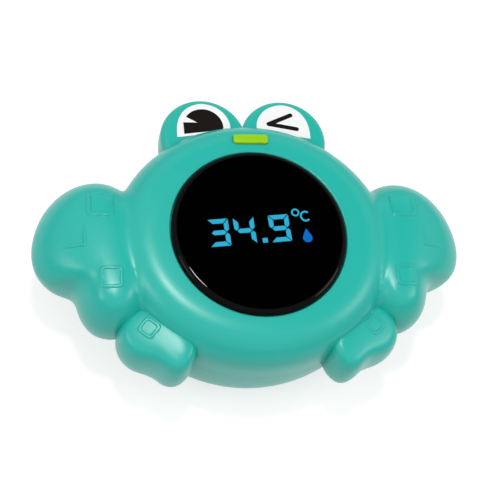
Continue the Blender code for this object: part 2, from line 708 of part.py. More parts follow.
def segment(x0, y0, x1, y1):
    """Pointed bar between two corners of a digit."""
    d = hypot(x1 - x0, y1 - y0)
    ux, uy = (x1 - x0) / d, (y1 - y0) / d
    s, h = 0.42, STROKE / 2
    pts = [(s, 0), (s + h, -h), (d - s - h, -h), (d - s, 0), (d - s - h, h), (s + h, h)]
    return [(x0 + ux * a - uy * b, y0 + uy * a + ux * b) for a, b in pts]


def digit_segments(x, on):
    w, h = DIGIT_W / 2 - STROKE / 2, DIGIT_H / 2 - STROKE / 2
    spots = {"a": (-w, h, w, h), "b": (w, 0, w, h), "c": (w, -h, w, 0), "d": (-w, -h, w, -h),
             "e": (-w, -h, -w, 0), "f": (-w, 0, -w, h), "g": (-w, 0, w, 0)}
    return [segment(x + spots[k][0], spots[k][1], x + spots[k][2], spots[k][3]) for k in on]


DIGITS = [("digit_3", -12.05, "abcdg"), ("digit_4", -4.9, "bcfg"), ("digit_9", 5.4, "abcdfg")]
POINT_AT = (0.45, -3.75)
DEGREE_AT = (10.75, 4.1)
LETTER_AT = (13.65, 2.7)
DROP_AT = (13.2, -3.1)
PLATE_LOW = GLYPH_TOP - 1.2
PLATE_HIGH = GLYPH_TOP - 0.7


def digit_plate(x, extra=0.0):
    half_x, half_y = DIGIT_W / 2 + 0.25 + extra, DIGIT_H / 2 + 0.2 + extra
    return [(x + sx * half_x, sy * half_y) for sx, sy in ((1, 1), (-1, 1), (-1, -1), (1, -1))]


def letter_outline(extra=0.0):
    outer, inner = 1.25 + extra, 0.75 - extra
    arc = [radians(48 + 264 * k / 8) for k in range(9)]
    tall = 1.25
    points = [(LETTER_AT[0] + outer * cos(a), LETTER_AT[1] + outer * sin(a) * tall) for a in arc]
    points += [(LETTER_AT[0] + inner * cos(a), LETTER_AT[1] + inner * sin(a) * tall) for a in reversed(arc)]
    return points


def drop_outline(extra=0.0):
    points = [(DROP_AT[0], DROP_AT[1] + 2.1 + extra)]
    for k in range(11):
        a = radians(150 + 240 * k / 10)
        points.append((DROP_AT[0] + (1.35 + extra) * cos(a), DROP_AT[1] - 0.45 + (1.35 + extra) * sin(a)))
    return points


def block_pockets(bm):
    for _, x, _ in DIGITS:
        slab(bm, local(digit_plate(x, GAP)), PLATE_LOW - GAP, HEIGHT)
    slab(bm, local(rounded(POINT_AT, (1.2 + 2 * GAP, 1.2 + 2 * GAP), 0.2, 1)), PLATE_LOW - GAP, HEIGHT)
    slab(bm, straight(circle(DEGREE_AT, 1.0 + GAP, 12)), PLATE_LOW - GAP, HEIGHT)
    slab(bm, straight(circle(LETTER_AT, 1.68, 12)), PLATE_LOW - GAP, HEIGHT)
    slab(bm, straight(drop_outline(GAP)), PLATE_LOW - GAP, HEIGHT)


def block_form(bm):
    outline = turned(rounded(DISPLAY_AT, BLOCK_SIZE, 1.3, 1), DISPLAY_TURN, DISPLAY_AT)
    slab(bm, outline, BLOCK_BOTTOM, BLOCK_TOP)


pockets = tool_from("block_pockets", block_pockets)
block = part_from("display_block", block_form, BLACK)
boolean(block, pockets)

for name, x, on in DIGITS:
    guide = part_from(name, lambda bm: slab(bm, local(digit_plate(x)), PLATE_LOW, PLATE_HIGH), GLOW)

    def bars(bm):
        for bar in digit_segments(x, on):
            slab(bm, local(bar), PLATE_LOW + 0.2, GLYPH_TOP)

    boolean(guide, tool_from(name + "_bars", bars), "UNION")
part_from("decimal_point", lambda bm: slab(bm, local(rounded(POINT_AT, (1.2, 1.2), 0.2, 1)),
                                           PLATE_LOW, GLYPH_TOP), GLOW)
part_from("degree_ring", lambda bm: hollow_slab(bm, straight(circle(DEGREE_AT, 1.0, 12)),
                                                straight(circle(DEGREE_AT, 0.55, 12)),
                                                PLATE_LOW, GLYPH_TOP), GLOW)
part_from("letter_c", lambda bm: slab(bm, straight(letter_outline()), PLATE_LOW, GLYPH_TOP), GLOW)
part_from("water_drop", lambda bm: slab(bm, straight(drop_outline()), PLATE_LOW, GLYPH_TOP), DEEP_GLOW)


# Circuit board, its screws and parts

def board_holes(bm):
    for at in BOARD_POSTS:
        drum(bm, at, THREAD_R + GAP, board_low - 1, BOARD_TOP + 1, 6)


board_low = BOARD_TOP - BOARD_T
board = part_from("circuit_board", lambda bm: drum(bm, (0, 0), BOARD_R, board_low, BOARD_TOP, 20), BOARD)
boolean(board, tool_from("board_holes", board_holes))

for k, at in enumerate(BOARD_POSTS):
    part_from("board_screw_%d" % (k + 1), lambda bm: spin(bm, [
        (0, board_low - GAP - 1.4), (1.3, board_low - GAP - 1.4), (1.7, board_low - GAP - 1.0),
        (1.7, board_low - GAP), (THREAD_R, board_low - GAP), (THREAD_R, SEAT_TOP - 1.6),
        (0, SEAT_TOP - 1.2)], 8, at), STEEL)
buzzer_low = board_low - GAP - BUZZER_T
part_from("buzzer", lambda bm: spin(bm, [
    (0, buzzer_low), (BUZZER_R - 0.3, buzzer_low), (BUZZER_R, buzzer_low + 0.3),
    (BUZZER_R, board_low - GAP), (0, board_low - GAP)], 14, BUZZER_AT), SHELL_BLACK)
part_from("controller_chip", lambda bm: slab(bm, rounded(CHIP_AT, CHIP_SIZE, 0.4, 1),
                                             board_low - GAP - CHIP_T, board_low - GAP), BLACK)
touch_low = BOARD_TOP + GAP + WIRE_R
touch_rise = LENS_BOTTOM - GAP - WIRE_R - touch_low
wire("touch_spring", [(TOUCH_AT[0] + TOUCH_R * cos(2 * pi * k / 7), TOUCH_AT[1] + TOUCH_R * sin(2 * pi * k / 7),
                       touch_low + touch_rise * k / 21) for k in range(22)], WIRE_R, SPRING)


# Battery bay: door, seal, screw, cells and contacts

door = part_from("battery_door", lambda bm: slab(bm, rounded((0, DOOR_AT_Y), DOOR_SIZE, DOOR_CORNER),
                                                 0, DOOR_T), TEAL)
door_tab = tool_from("door_tab", lambda bm: drum(bm, (0, TAB_Y), TAB_R, 0, DOOR_T, 12))
boolean(door, door_tab, "UNION")


def door_hole(bm):
    drum(bm, (0, TAB_Y), CASE_R + GAP, 0, 4, 6)


def door_cuts(bm):
    drum(bm, (0, TAB_Y), CASE_HEAD_R, -1, 0.9, 10)
    for k in range(3):
        slab(bm, rounded((6 - DOOR_SIZE[0] / 2 + k * 2.6, DOOR_AT_Y), (1.2, 12.0), 0.5, 1), -1, 0.5)


boolean(door, tool_from("door_hole", door_hole))
boolean(door, tool_from("door_cuts", door_cuts))
part_from("door_seal", lambda bm: hollow_slab(
    bm, rounded((0, DOOR_AT_Y), [s - 2 * GAP for s in DOOR_SIZE], DOOR_CORNER - GAP),
    rounded((0, DOOR_AT_Y), [s + 0.2 for s in BAY_SIZE], BAY_CORNER + 0.1),
    DOOR_T + GAP, DOOR_T + GAP + SEAL_T), RUBBER)


def screw(name, at, head_low, head_r, shank_low, tip, mat, slot=True):
    item = part_from(name, lambda bm: spin(bm, [
        (0, head_low), (head_r - 0.3, head_low), (head_r, head_low + 0.3), (head_r, shank_low),
        (CASE_R, shank_low), (CASE_R, tip - 0.8), (0, tip)], 8, at), mat)
    if slot:
        def cross(bm):
            slab(bm, [(at[0] + sx * 1.2, at[1] + sy * 0.3) for sx, sy in ((1, 1), (-1, 1), (-1, -1), (1, -1))],
                 head_low - 1, head_low + 0.5)
        boolean(item, tool_from(name + "_slot", cross))
    return item


screw("door_screw", (0, TAB_Y), 0.1, CASE_HEAD_R - GAP, 0.6, 8.4, STEEL)
for name, at in zip(("arm_right", "arm_left", "leg_right", "leg_left"), CASE_SCREWS):
    screw("case_screw_" + name, at, CASE_SEAT - GAP - 1.5, CASE_HEAD_R, CASE_SEAT - GAP, CASE_TIP, STEEL)


def cell(name, y, way):
    at_x = way * (PLATE_X - PLATE_T / 2 - GAP - CELL_L / 2)
    item = part_from(name, lambda bm: spin(bm, [
        (0, -CELL_L / 2), (CELL_R - 0.4, -CELL_L / 2), (CELL_R, -CELL_L / 2 + 0.4),
        (CELL_R, CELL_L / 2 - CELL_STEP), (1.9, CELL_L / 2 - CELL_STEP), (1.9, CELL_L / 2), (0, CELL_L / 2)],
        12), CELL)
    place = (Matrix.Translation((at_x * MM, y * MM, CELL_Z * MM)) @ Matrix.Rotation(way * pi / 2, 4, "Y"))
    item.data.transform(place)
    start = -way * (PLATE_X - PLATE_T / 2 - GAP - WIRE_R)
    span = at_x - way * (CELL_L / 2 + GAP + WIRE_R) - start
    turns, per = 2, 8
    count = int(turns * per)
    points = []
    for k in range(count + 1):
        r = 0.65 * CELL_R - 1.1 * k / count
        a = 2 * pi * k / per
        points.append((start + span * k / count, y + r * cos(a), CELL_Z + r * sin(a)))
    wire(name + "_spring", points, WIRE_R, SPRING)


cell("battery_front", DOOR_AT_Y - CELL_Y, 1)
cell("battery_back", DOOR_AT_Y + CELL_Y, -1)


def plate(name, x, y, width):
    tall = 0.8 * CELL_R
    part_from(name, lambda bm: slab(bm, [(x - PLATE_T / 2, y - width / 2), (x + PLATE_T / 2, y - width / 2),
                                         (x + PLATE_T / 2, y + width / 2), (x - PLATE_T / 2, y + width / 2)],
                                    CELL_Z - tall, CELL_Z + tall), STEEL)


plate("contact_plate_left", -PLATE_X, DOOR_AT_Y, 2 * CELL_Y + 1.6 * CELL_R)
plate("contact_plate_plus", PLATE_X, DOOR_AT_Y - CELL_Y, 1.6 * CELL_R)
plate("contact_plate_minus", PLATE_X, DOOR_AT_Y + CELL_Y, 1.6 * CELL_R)


# Sensor cap with its bead, and the two water contacts

part_from("sensor_cap", lambda bm: spin(bm, [
    (0, 0.3), (CAP_R - 0.5, 0.3), (CAP_R, 0.8), (CAP_R, 4.8), (5.0, 4.8), (5.0, 5.3), (2.7, 5.3),
    (2.7, 0.9), (0, 0.9)], 12, CAP_AT), STEEL)
part_from("sensor_bead", lambda bm: spin(bm, [
    (0, 1.2), (0.8, 1.4), (1.2, 2.0), (1.2, 2.6), (0.8, 3.2), (0, 3.4)], 8, CAP_AT), EPOXY)
part_from("sensor_potting", lambda bm: spin(bm, [
    (0, 3.7), (2.4, 3.7), (2.4, 5.2), (0, 5.2)], 12, CAP_AT), EPOXY)
for name, x in (("water_contact_right", STUD_X), ("water_contact_left", -STUD_X)):
    part_from(name, lambda bm: spin(bm, [
        (0, 0.1), (STUD_R - 0.4, 0.1), (STUD_R, 0.4), (STUD_R, 0.9), (1.2, 0.9), (1.2, 5.0), (0, 5.0)], 8,
        (x, STUD_Y)), STEEL)
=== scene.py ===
"""Looks of the floating baby bath thermometer: a winking frog with a round touch display."""
from math import atan2, cos, exp, hypot, pi, radians, sin

import bpy
from mathutils import Matrix, Vector


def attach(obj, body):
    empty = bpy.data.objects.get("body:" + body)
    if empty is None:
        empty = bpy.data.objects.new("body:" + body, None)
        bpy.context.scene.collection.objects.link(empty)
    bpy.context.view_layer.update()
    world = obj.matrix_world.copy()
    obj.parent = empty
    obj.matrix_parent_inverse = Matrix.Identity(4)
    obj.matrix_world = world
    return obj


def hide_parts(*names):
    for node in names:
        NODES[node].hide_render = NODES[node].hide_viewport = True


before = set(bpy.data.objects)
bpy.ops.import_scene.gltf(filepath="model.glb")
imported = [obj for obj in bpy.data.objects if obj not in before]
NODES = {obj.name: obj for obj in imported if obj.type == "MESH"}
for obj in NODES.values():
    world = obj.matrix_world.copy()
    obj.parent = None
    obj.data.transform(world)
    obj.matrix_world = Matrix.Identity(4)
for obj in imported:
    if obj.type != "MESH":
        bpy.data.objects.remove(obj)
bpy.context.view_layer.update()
MM = 0.001

# Sizes of the housing, in millimetres, as its solids have them
HEIGHT = 38.0
PARTING = 20.0
GAP = 0.3
SEAM = 0.08
WALL = 2.4
SNUG = 0.15
WELD = 2e-6
OPEN_LOW, OPEN_HIGH = -2, HEIGHT + 2
BODY_FLAT, BODY_BULGE, BODY_WIDE, BODY_TOP = 31.2, 10.0, 24.0, 36.8
BODY_OVAL, BODY_POWER = 0.92, 2.0 / 0.7
TOP_FLAT, TOP_POWER = 29.2, 2.55
LENS_R, LENS_BOTTOM = 25.3, 36.0
SEAT_TOP, SEAT_T, SEAT_R = 34.9, 2.2, 29.0
DISPLAY_AT, DISPLAY_TURN = (0.45, 1.5), radians(4.9)
BOARD_TOP = 27.3
BOARD_POSTS = [(21.3 * cos(radians(a)), 21.3 * sin(radians(a))) for a in (56.3, 123.7, 270.0)]
TOUCH_AT, TOUCH_R = (0.0, -13.5), 2.2
DOOR_AT_Y, DOOR_SIZE, DOOR_T, DOOR_CORNER = 2.0, (54.0, 27.0), 1.8, 5.0
BAY_SIZE, BAY_CORNER, BAY_FLOOR, BAY_TOP, BAY_WALL = (50.6, 23.6), 2.0, 3.0, 14.0, 1.5
TAB_Y, TAB_R = 18.9, 4.4
CAP_AT, CAP_R = (0.0, -20.0), 3.2
STUD_X, STUD_Y, STUD_R = 9.0, -19.5, 2.2
RECESS_T = 1.2
GROOVE, GROOVE_T = (1.85, 0.55), 1.35
LIP_R = 0.45
CASE_SCREWS = [(47.0, 3.0), (-47.0, 3.0), (31.0, -28.5), (-31.0, -28.5)]
CASE_POST_TOPS = [33.0, 33.0, 28.4, 28.4]
CASE_SEAT, CASE_R, CASE_HEAD_R, CASE_TIP = 15.0, 1.1, 2.3, 25.4

ARM_OUTLINE = [
    (37.0, 20.2), (45.6, 22.2), (54.2, 19.5), (61.0, 12.4), (64.4, 3.2), (64.3, -5.2),
    (59.5, -11.0), (52.2, -11.3), (51.5, -17.9), (48.0, -23.9), (41.0, -26.4),
    (32.0, -23.0), (26.5, -8.0), (27.5, 10.0)]
ARM_SPINE = [(46.0, 8.0), (43.0, -6.0), (42.0, -16.0)]
ARM_RINGS = [(9.0, 0.68), (20.0, 1.02), (27.5, 0.92), (32.8, 0.64), (35.2, 0.25)]
ARM_TILT = (-0.10, 0.0)
LEG_OUTLINE = [
    (41.0, -22.5), (41.2, -29.6), (36.8, -34.6), (30.9, -35.0), (27.6, -39.0), (23.4, -39.9),
    (19.5, -36.6), (16.5, -28.0), (32.0, -15.0)]
LEG_SPINE = [(34.0, -27.0), (26.0, -33.5)]
LEG_RINGS = [(10.5, 0.70), (19.5, 1.02), (26.0, 0.96), (29.8, 0.82), (30.6, 0.40)]
LEG_TILT = (-0.16, 0.10)
ARM_POCKET = [(33.0, 11.0), (40.0, 15.6), (48.0, 16.6), (54.6, 12.6), (58.6, 3.0), (58.0, -5.0),
              (51.6, -7.6), (47.8, -14.0), (44.8, -20.6), (38.4, -20.6), (31.0, -12.0)]
ARM_POCKET_RINGS = [(13.8, -4.5), (17.0, 0.0), (25.5, 0.0), (30.8, -4.8)]
LEG_POCKET = [(35.0, -23.0), (36.6, -28.6), (32.0, -31.4), (27.5, -33.6), (24.0, -36.6), (22.0, -33.0),
              (25.0, -26.0)]
LEG_POCKET_RINGS = [(14.2, -2.0), (17.0, 0.0), (24.0, 0.0), (27.0, -1.6)]
EYE_AT, EYE_TOP = (12.2, 34.4), 29.8
WHITE_OUTLINE = [
    (4.0, 36.2), (4.2, 39.4), (5.6, 42.2), (7.8, 44.2), (10.4, 45.2), (13.0, 45.4), (15.6, 44.6),
    (17.9, 42.9), (19.5, 40.3), (20.2, 37.4), (20.3, 34.1)]
WHITE_T, WHITE_PROUD, INK_T, INK_PROUD = 1.1, 0.15, 0.4, 0.02
PUPIL_AT, PUPIL_R, PUPIL_FLAT = (-12.2, 37.6), 6.0, 35.2
WINK = [(14.8, 42.0), (7.8, 38.9), (16.3, 37.3)]
MOUTH_AT_Y, MOUTH_SIZE, MOUTH_TOP, MOUTH_FLOOR = 29.7, (10.2, 2.8), 37.7, 35.3

# Raised marks on the limbs: centre, outer size, turn, kind, and how far the inner square is shifted
MARKS = [((44.6, 9.8), 6.8, 3.0, "frame", (-0.35, 0.35)), ((42.5, -12.65), 5.5, 1.5, "frame", (0.0, 0.0)),
         ((32.4, -26.2), 4.2, 40.0, "frame", (0.0, 0.0)), ((49.37, -2.63), 5.4, 0.0, "corner", (0.0, 0.0))]
MARK_W, MARK_H = 0.75, 0.34
MARK_CORNER_OUT, MARK_CORNER_IN, MARK_FLANK = 1.1, 0.7, 0.3
LIMBS_ABOVE, LIMBS_BEYOND = 25, 25


# Hand tools

def lay_down():
    """Leaves edit mode and clears the selection."""
    if bpy.context.object and bpy.context.object.mode != "OBJECT":
        bpy.ops.object.mode_set(mode="OBJECT")
    bpy.ops.object.select_all(action="DESELECT")


def pick_up(piece, edit=False):
    lay_down()
    piece.select_set(True)
    bpy.context.view_layer.objects.active = piece
    if edit:
        bpy.ops.object.mode_set(mode="EDIT")
        bpy.ops.mesh.select_mode(type="VERT")
        bpy.ops.mesh.select_all(action="SELECT")


def name_it(name):
    piece = bpy.context.object
    piece.name = name
    piece.data.name = name
    return piece


def face_outwards(piece):
    pick_up(piece, edit=True)
    bpy.ops.mesh.remove_doubles(threshold=WELD)
    bpy.ops.mesh.normals_make_consistent(inside=False)
    lay_down()


def apply_all(piece):
    pick_up(piece)
    for mod in list(piece.modifiers):
        bpy.ops.object.modifier_apply(modifier=mod.name)


def twin(piece, name):
    copy = piece.copy()
    copy.data = piece.data.copy()
    copy.name = name
    copy.data.name = name
    bpy.context.scene.collection.objects.link(copy)
    return copy


def mirror_over(piece, name):
    """A left-hand copy of a right-hand piece."""
    copy = twin(piece, name)
    pick_up(copy, edit=True)
    bpy.ops.transform.resize(value=(-1, 1, 1), center_override=(0, 0, 0))
    bpy.ops.mesh.flip_normals()
    lay_down()
    return copy


def put_together(pieces, name):
    lay_down()
    for piece in pieces:
        piece.select_set(True)
    bpy.context.view_layer.objects.active = pieces[0]
    bpy.ops.object.join()
    return name_it(name)


def carve(piece, tool, kind="DIFFERENCE", keep=False):
    """Adds, cuts or keeps the shared part of two closed pieces."""
    mod = piece.modifiers.new("carve", "BOOLEAN")
    mod.operation = kind
    mod.solver = "EXACT"
    mod.object = tool
    pick_up(piece)
    bpy.ops.object.modifier_apply(modifier=mod.name)
    if not keep:
        bpy.data.objects.remove(tool, do_unlink=True)


def round_off(piece, levels):
    mod = piece.modifiers.new("round", "SUBSURF")
    mod.levels = mod.render_levels = levels
    apply_all(piece)


def soften(piece, times, weights=None, factor=0.5):
    """Smooths a mesh, where the weights say so."""
    mod = piece.modifiers.new("soften", "SMOOTH")
    mod.factor = factor
    mod.iterations = times
    if weights:
        group = piece.vertex_groups.new(name="soften")
        for corner in piece.data.vertices:
            w = weights(corner.co / MM)
            if w > 0.01:
                group.add([corner.index], w, "REPLACE")
        mod.vertex_group = group.name
    apply_all(piece)
    piece.vertex_groups.clear()


def ease_edges(piece, width, segments=3, angle=35.0):
    """Rounds the sharp edges of a piece."""
    mod = piece.modifiers.new("edge", "BEVEL")
    mod.width = width * MM
    mod.segments = segments
    mod.limit_method = "ANGLE"
    mod.angle_limit = radians(angle)
    mod.harden_normals = False
    apply_all(piece)


def shade(piece, angle=35.0):
    pick_up(piece)
    bpy.ops.object.shade_smooth_by_angle(angle=radians(angle))


# Outlines

def arc(at, radius, start, stop, steps):
    """Points on an arc, with angles in degrees."""
    return [(at[0] + radius * cos(radians(start + (stop - start) * k / steps)),
             at[1] + radius * sin(radians(start + (stop - start) * k / steps))) for k in range(steps + 1)]


def ring_of(at, radius, steps):
    return arc(at, radius, 180.0 / steps, 180.0 / steps + 360.0, steps)[:-1]


def rounded(at, size, corner, steps=6):
    half_x, half_y = size[0] / 2 - corner, size[1] / 2 - corner
    points = []
    for turn, (sx, sy) in enumerate([(1, 1), (-1, 1), (-1, -1), (1, -1)]):
        points += arc((at[0] + sx * half_x, at[1] + sy * half_y), corner, turn * 90, turn * 90 + 90, steps)
    return points


def turned(points, angle, about=(0.0, 0.0)):
    c, s = cos(angle), sin(angle)
    return [(about[0] + (x - about[0]) * c - (y - about[1]) * s,
             about[1] + (x - about[0]) * s + (y - about[1]) * c) for x, y in points]


def mirrored(points):
    return [(-x, y) for x, y in reversed(points)]


def wider(points, amount):
    """Moves a closed outline outwards, corner by corner."""
    area = sum(x0 * y1 - x1 * y0 for (x0, y0), (x1, y1) in zip(points, points[1:] + points[:1]))
    side = 1.0 if area > 0 else -1.0
    out = []
    for k, (x, y) in enumerate(points):
        (ax, ay), (bx, by) = points[k - 1], points[(k + 1) % len(points)]
        d1, d2 = hypot(x - ax, y - ay), hypot(bx - x, by - y)
        n1 = ((y - ay) / d1 * side, -(x - ax) / d1 * side)
        n2 = ((by - y) / d2 * side, -(bx - x) / d2 * side)
        scale = amount / max(0.35, 1.0 + n1[0] * n2[0] + n1[1] * n2[1])
        out.append((x + (n1[0] + n2[0]) * scale, y + (n1[1] + n2[1]) * scale))
    return out


def flowing(points, steps=4, closed=True):
    """A smooth line through the points of an outline."""
    out, count = [], len(points)
    for k in range(count if closed else count - 1):
        near = [(k + j) % count if closed else min(max(k + j, 0), count - 1) for j in (-1, 0, 1, 2)]
        p = [points[j] for j in near]
        for s in range(steps):
            t = s / steps
            out.append(tuple(0.5 * (2 * p[1][i] + (p[2][i] - p[0][i]) * t
                                    + (2 * p[0][i] - 5 * p[1][i] + 4 * p[2][i] - p[3][i]) * t * t
                                    + (3 * p[1][i] - p[0][i] - 3 * p[2][i] + p[3][i]) * t ** 3)
                             for i in (0, 1)))
    if not closed:
        out.append(points[-1])
    return out


# Solids

def stacked(name, count, levels, spot):
    """Extrudes a filled circle level by level and moves each corner to spot(corner, level)."""
    lay_down()
    bpy.ops.mesh.primitive_circle_add(vertices=count, radius=1.0, fill_type="NGON", location=(0, 0, 0))
    piece = name_it(name)
    pick_up(piece, edit=True)
    for _ in range(levels - 1):
        bpy.ops.mesh.extrude_region_move(TRANSFORM_OT_translate={"value": (0, 0, 1)})
    lay_down()
    for corner in piece.data.vertices:
        turn = round((atan2(corner.co.y, corner.co.x) / (2 * pi) - 0.25) * count) % count
        corner.co = Vector(spot(turn, round(corner.co.z))) * MM
    face_outwards(piece)
    return piece


def slab(name, points, low, high):
    """Cuts an outline out of a plate."""
    return stacked(name, len(points), 2, lambda k, level: (*points[k], (low, high)[level]))


def drum(name, at, radius, low, high, steps=24):
    return slab(name, ring_of(at, radius, steps), low, high)


def lathe(name, profile, steps, at=(0.0, 0.0), oval=1.0):
    """Draws a half section by extruding a corner along it and spins it round the vertical axis."""
    lay_down()
    bpy.ops.mesh.primitive_plane_add(size=0.001, location=(0, 0, 0))
    piece = name_it(name)
    pick_up(piece, edit=True)
    bpy.ops.mesh.merge(type="CENTER")
    last = Vector((0, 0, 0))
    path = list(profile) + ([profile[0]] if profile[0][0] > 1e-6 else [])
    for k, (r, z) in enumerate(path):
        step = Vector((r, 0, z)) * MM - last
        last = Vector((r, 0, z)) * MM
        if k == 0:
            bpy.ops.transform.translate(value=step)
        else:
            bpy.ops.mesh.extrude_vertices_move(TRANSFORM_OT_translate={"value": step})
    bpy.ops.mesh.select_all(action="SELECT")
    bpy.ops.mesh.spin(steps=steps, angle=2 * pi, center=(0, 0, 0), axis=(0, 0, 1), use_auto_merge=True)
    bpy.ops.mesh.select_all(action="SELECT")
    bpy.ops.mesh.remove_doubles(threshold=WELD)
    bpy.ops.mesh.normals_make_consistent(inside=False)
    bpy.ops.transform.resize(value=(1, oval, 1), center_override=(0, 0, 0))
    bpy.ops.transform.translate(value=(at[0] * MM, at[1] * MM, 0))
    lay_down()
    return piece


def body_section(inset, steps):
    """Half section of the bowl, from the middle of the base to the middle of the top."""
    points = [(0.0, inset)]
    for k in range(steps + 1):
        a = -pi / 2 + pi * k / steps
        flat, power = (TOP_FLAT, TOP_POWER) if a > 0 else (BODY_FLAT, BODY_POWER)
        c, s = max(cos(a), 0.0), abs(sin(a))
        size = (c ** power + s ** power) ** (1 / power)
        tall = (BODY_TOP - BODY_WIDE if a > 0 else BODY_WIDE) - inset
        rise = tall * s / size * (1 if a > 0 else -1)
        points.append((flat + (BODY_FLAT + BODY_BULGE - flat - inset) * c / size, BODY_WIDE + rise))
    points.append((0.0, BODY_TOP - inset))
    return points


def limb(name, outline, spine, rings, tilt, levels):
    """A puffed limb: a cage of rings that close in on the limb's middle line."""
    def middle(x, y):
        best = None
        for (ax, ay), (bx, by) in zip(spine, spine[1:]):
            t = ((x - ax) * (bx - ax) + (y - ay) * (by - ay)) / ((bx - ax) ** 2 + (by - ay) ** 2)
            t = min(1.0, max(0.0, t))
            px, py = ax + t * (bx - ax), ay + t * (by - ay)
            d = hypot(x - px, y - py)
            if best is None or d < best[0]:
                best = (d, px, py)
        return best[1:]

    def spot(k, level):
        (x, y), (z, share) = outline[k], rings[level]
        px, py = middle(x, y)
        qx, qy = px + (x - px) * share, py + (y - py) * share
        lean = (tilt[0] * (qx - spine[0][0]) + tilt[1] * (qy - spine[0][1])) if z > PARTING else 0
        return qx, qy, z + lean * (z - PARTING) / (rings[-1][0] - PARTING)

    piece = stacked(name, len(outline), len(rings), spot)
    round_off(piece, levels)
    return piece


# The whole outer form: bowl and arms flow into each other, the eyes and the legs keep a line

SKIN_GRID, SKIN_ROUNDS = 0.55, 10
VALLEY_R, VALLEY_W, VALLEY_START, VALLEY_FADE, VALLEY_ROUNDS = 37.5, 3.0, -16, 12, 60


def outer_form():
    bowl = lathe("bowl", body_section(0.0, 44), 160, oval=BODY_OVAL)
    arm = limb("arm", ARM_OUTLINE, ARM_SPINE, ARM_RINGS, ARM_TILT, 3)
    form = put_together([bowl, arm, mirror_over(arm, "arm_left")], "housing")
    mod = form.modifiers.new("skin", "REMESH")
    mod.mode = "VOXEL"
    mod.voxel_size = SKIN_GRID * MM
    apply_all(form)
    soften(form, SKIN_ROUNDS)

    def valley(spot):
        """Where the arms meet the bowl: soft above, crisper towards the legs."""
        if spot.z < LIMBS_ABOVE or abs(spot.x) < LIMBS_BEYOND:
            return 0.0
        out = hypot(spot.x, spot.y / BODY_OVAL)
        up = min(1.0, max(0.0, (spot.y - VALLEY_START) / VALLEY_FADE))
        return exp(-((out - VALLEY_R) / VALLEY_W) ** 2) * up

    soften(form, VALLEY_ROUNDS, valley)
    rim = [(12.95, 27.75)] + arc((10.9, 27.75), 2.05, 8, 90, 8)
    eye = lathe("eye", [(0, 10), (8, 11), (12, 16), (12.9, 23)] + rim + [(0, EYE_TOP)], 72, EYE_AT)
    leg = limb("leg", LEG_OUTLINE, LEG_SPINE, LEG_RINGS, LEG_TILT, 4)
    for piece in (mirror_over(eye, "eye_left"), eye, mirror_over(leg, "leg_left"), leg):
        carve(form, piece, "UNION")
    return form


def square_edge(spot, at, half, corner):
    """Distance from a spot to the edge of a round-cornered square, negative inside."""
    dx, dy = abs(spot[0] - at[0]) - (half - corner), abs(spot[1] - at[1]) - (half - corner)
    return hypot(max(dx, 0), max(dy, 0)) + min(max(dx, dy), 0) - corner


def ramp(value, width):
    t = min(1.0, max(0.0, value / width + 0.5))
    return t * t * (3 - 2 * t)


def mark_gauges(x, y):
    """For each mark: its kind, and what tells a spot's place in its raised line."""
    for at, size, turn, kind, shift in MARKS:
        (u, v), = turned([(x, y)], -radians(turn), at)
        du, dv = u - at[0], v - at[1]
        if kind == "frame":
            outer = square_edge((u, v), at, (size + MARK_W) / 2, MARK_CORNER_OUT)
            middle = (at[0] + shift[0], at[1] + shift[1])
            inner = square_edge((u, v), middle, (size - MARK_W) / 2, MARK_CORNER_IN)
            yield kind, outer, inner, max(abs(du), abs(dv)) <= size + 1
        else:
            near = min(hypot(du - min(max(du, 0), size), dv), hypot(du, dv - min(max(dv, 0), size)))
            fade = 1 - max(du, dv, 0) / (size + 1)
            yield kind, near, fade, max(abs(du), abs(dv)) <= size + 1


def mark_height(x, y):
    """Height of the marks over a spot on the right-hand limbs, from 0 to 1."""
    best = 0.0
    for kind, first, second, close in mark_gauges(x, y):
        if close and kind == "frame":
            best = max(best, ramp(-first, MARK_FLANK) * ramp(second, MARK_FLANK))
        elif close:
            best = max(best, ramp(MARK_W / 2 - first, MARK_FLANK) * min(1.0, 0.35 + second))
    return best


def mark_line(x, y):
    """Distance from a spot to the nearest edge of a mark."""
    best = 9.0
    for kind, first, second, _ in mark_gauges(x, y):
        edges = (abs(first), abs(second)) if kind == "frame" else (abs(first - MARK_W / 2), first)
        best = min(best, *edges)
    return best


def on_limb(spot, normal):
    """True on the upper side of the arms and legs."""
    return spot.z > LIMBS_ABOVE and abs(spot.x) > LIMBS_BEYOND and normal.z > 0.2


def raise_marks(form):
    """Refines the mesh along each mark and lifts the mark out of it."""
    for reach in (0.9, 0.5):
        pick_up(form, edit=True)
        bpy.ops.mesh.select_all(action="DESELECT")
        bpy.ops.mesh.select_mode(type="FACE")
        lay_down()
        for face in form.data.polygons:
            c = face.center / MM
            if on_limb(c, face.normal) and mark_line(abs(c.x), c.y) < reach:
                face.select = True
        bpy.context.view_layer.objects.active = form
        form.select_set(True)
        bpy.ops.object.mode_set(mode="EDIT")
        bpy.ops.mesh.subdivide(number_cuts=1, smoothness=0)
        lay_down()
    group = form.vertex_groups.new(name="marks")
    for corner in form.data.vertices:
        spot = corner.co / MM
        if on_limb(spot, corner.normal):
            high = mark_height(abs(spot.x), spot.y)
            if high > 0.005:
                group.add([corner.index], high, "REPLACE")
    mod = form.modifiers.new("marks", "DISPLACE")
    mod.direction = "NORMAL"
    mod.mid_level = 0.0
    mod.strength = MARK_H * MM
    mod.vertex_group = group.name
    apply_all(form)
    form.vertex_groups.clear()


# What is hollow in the two shells

def pocket(name, outline, rings):
    loops = [wider(outline, out) for _, out in rings]
    return stacked(name, len(outline), len(rings), lambda k, level: (*loops[level][k], rings[level][0]))


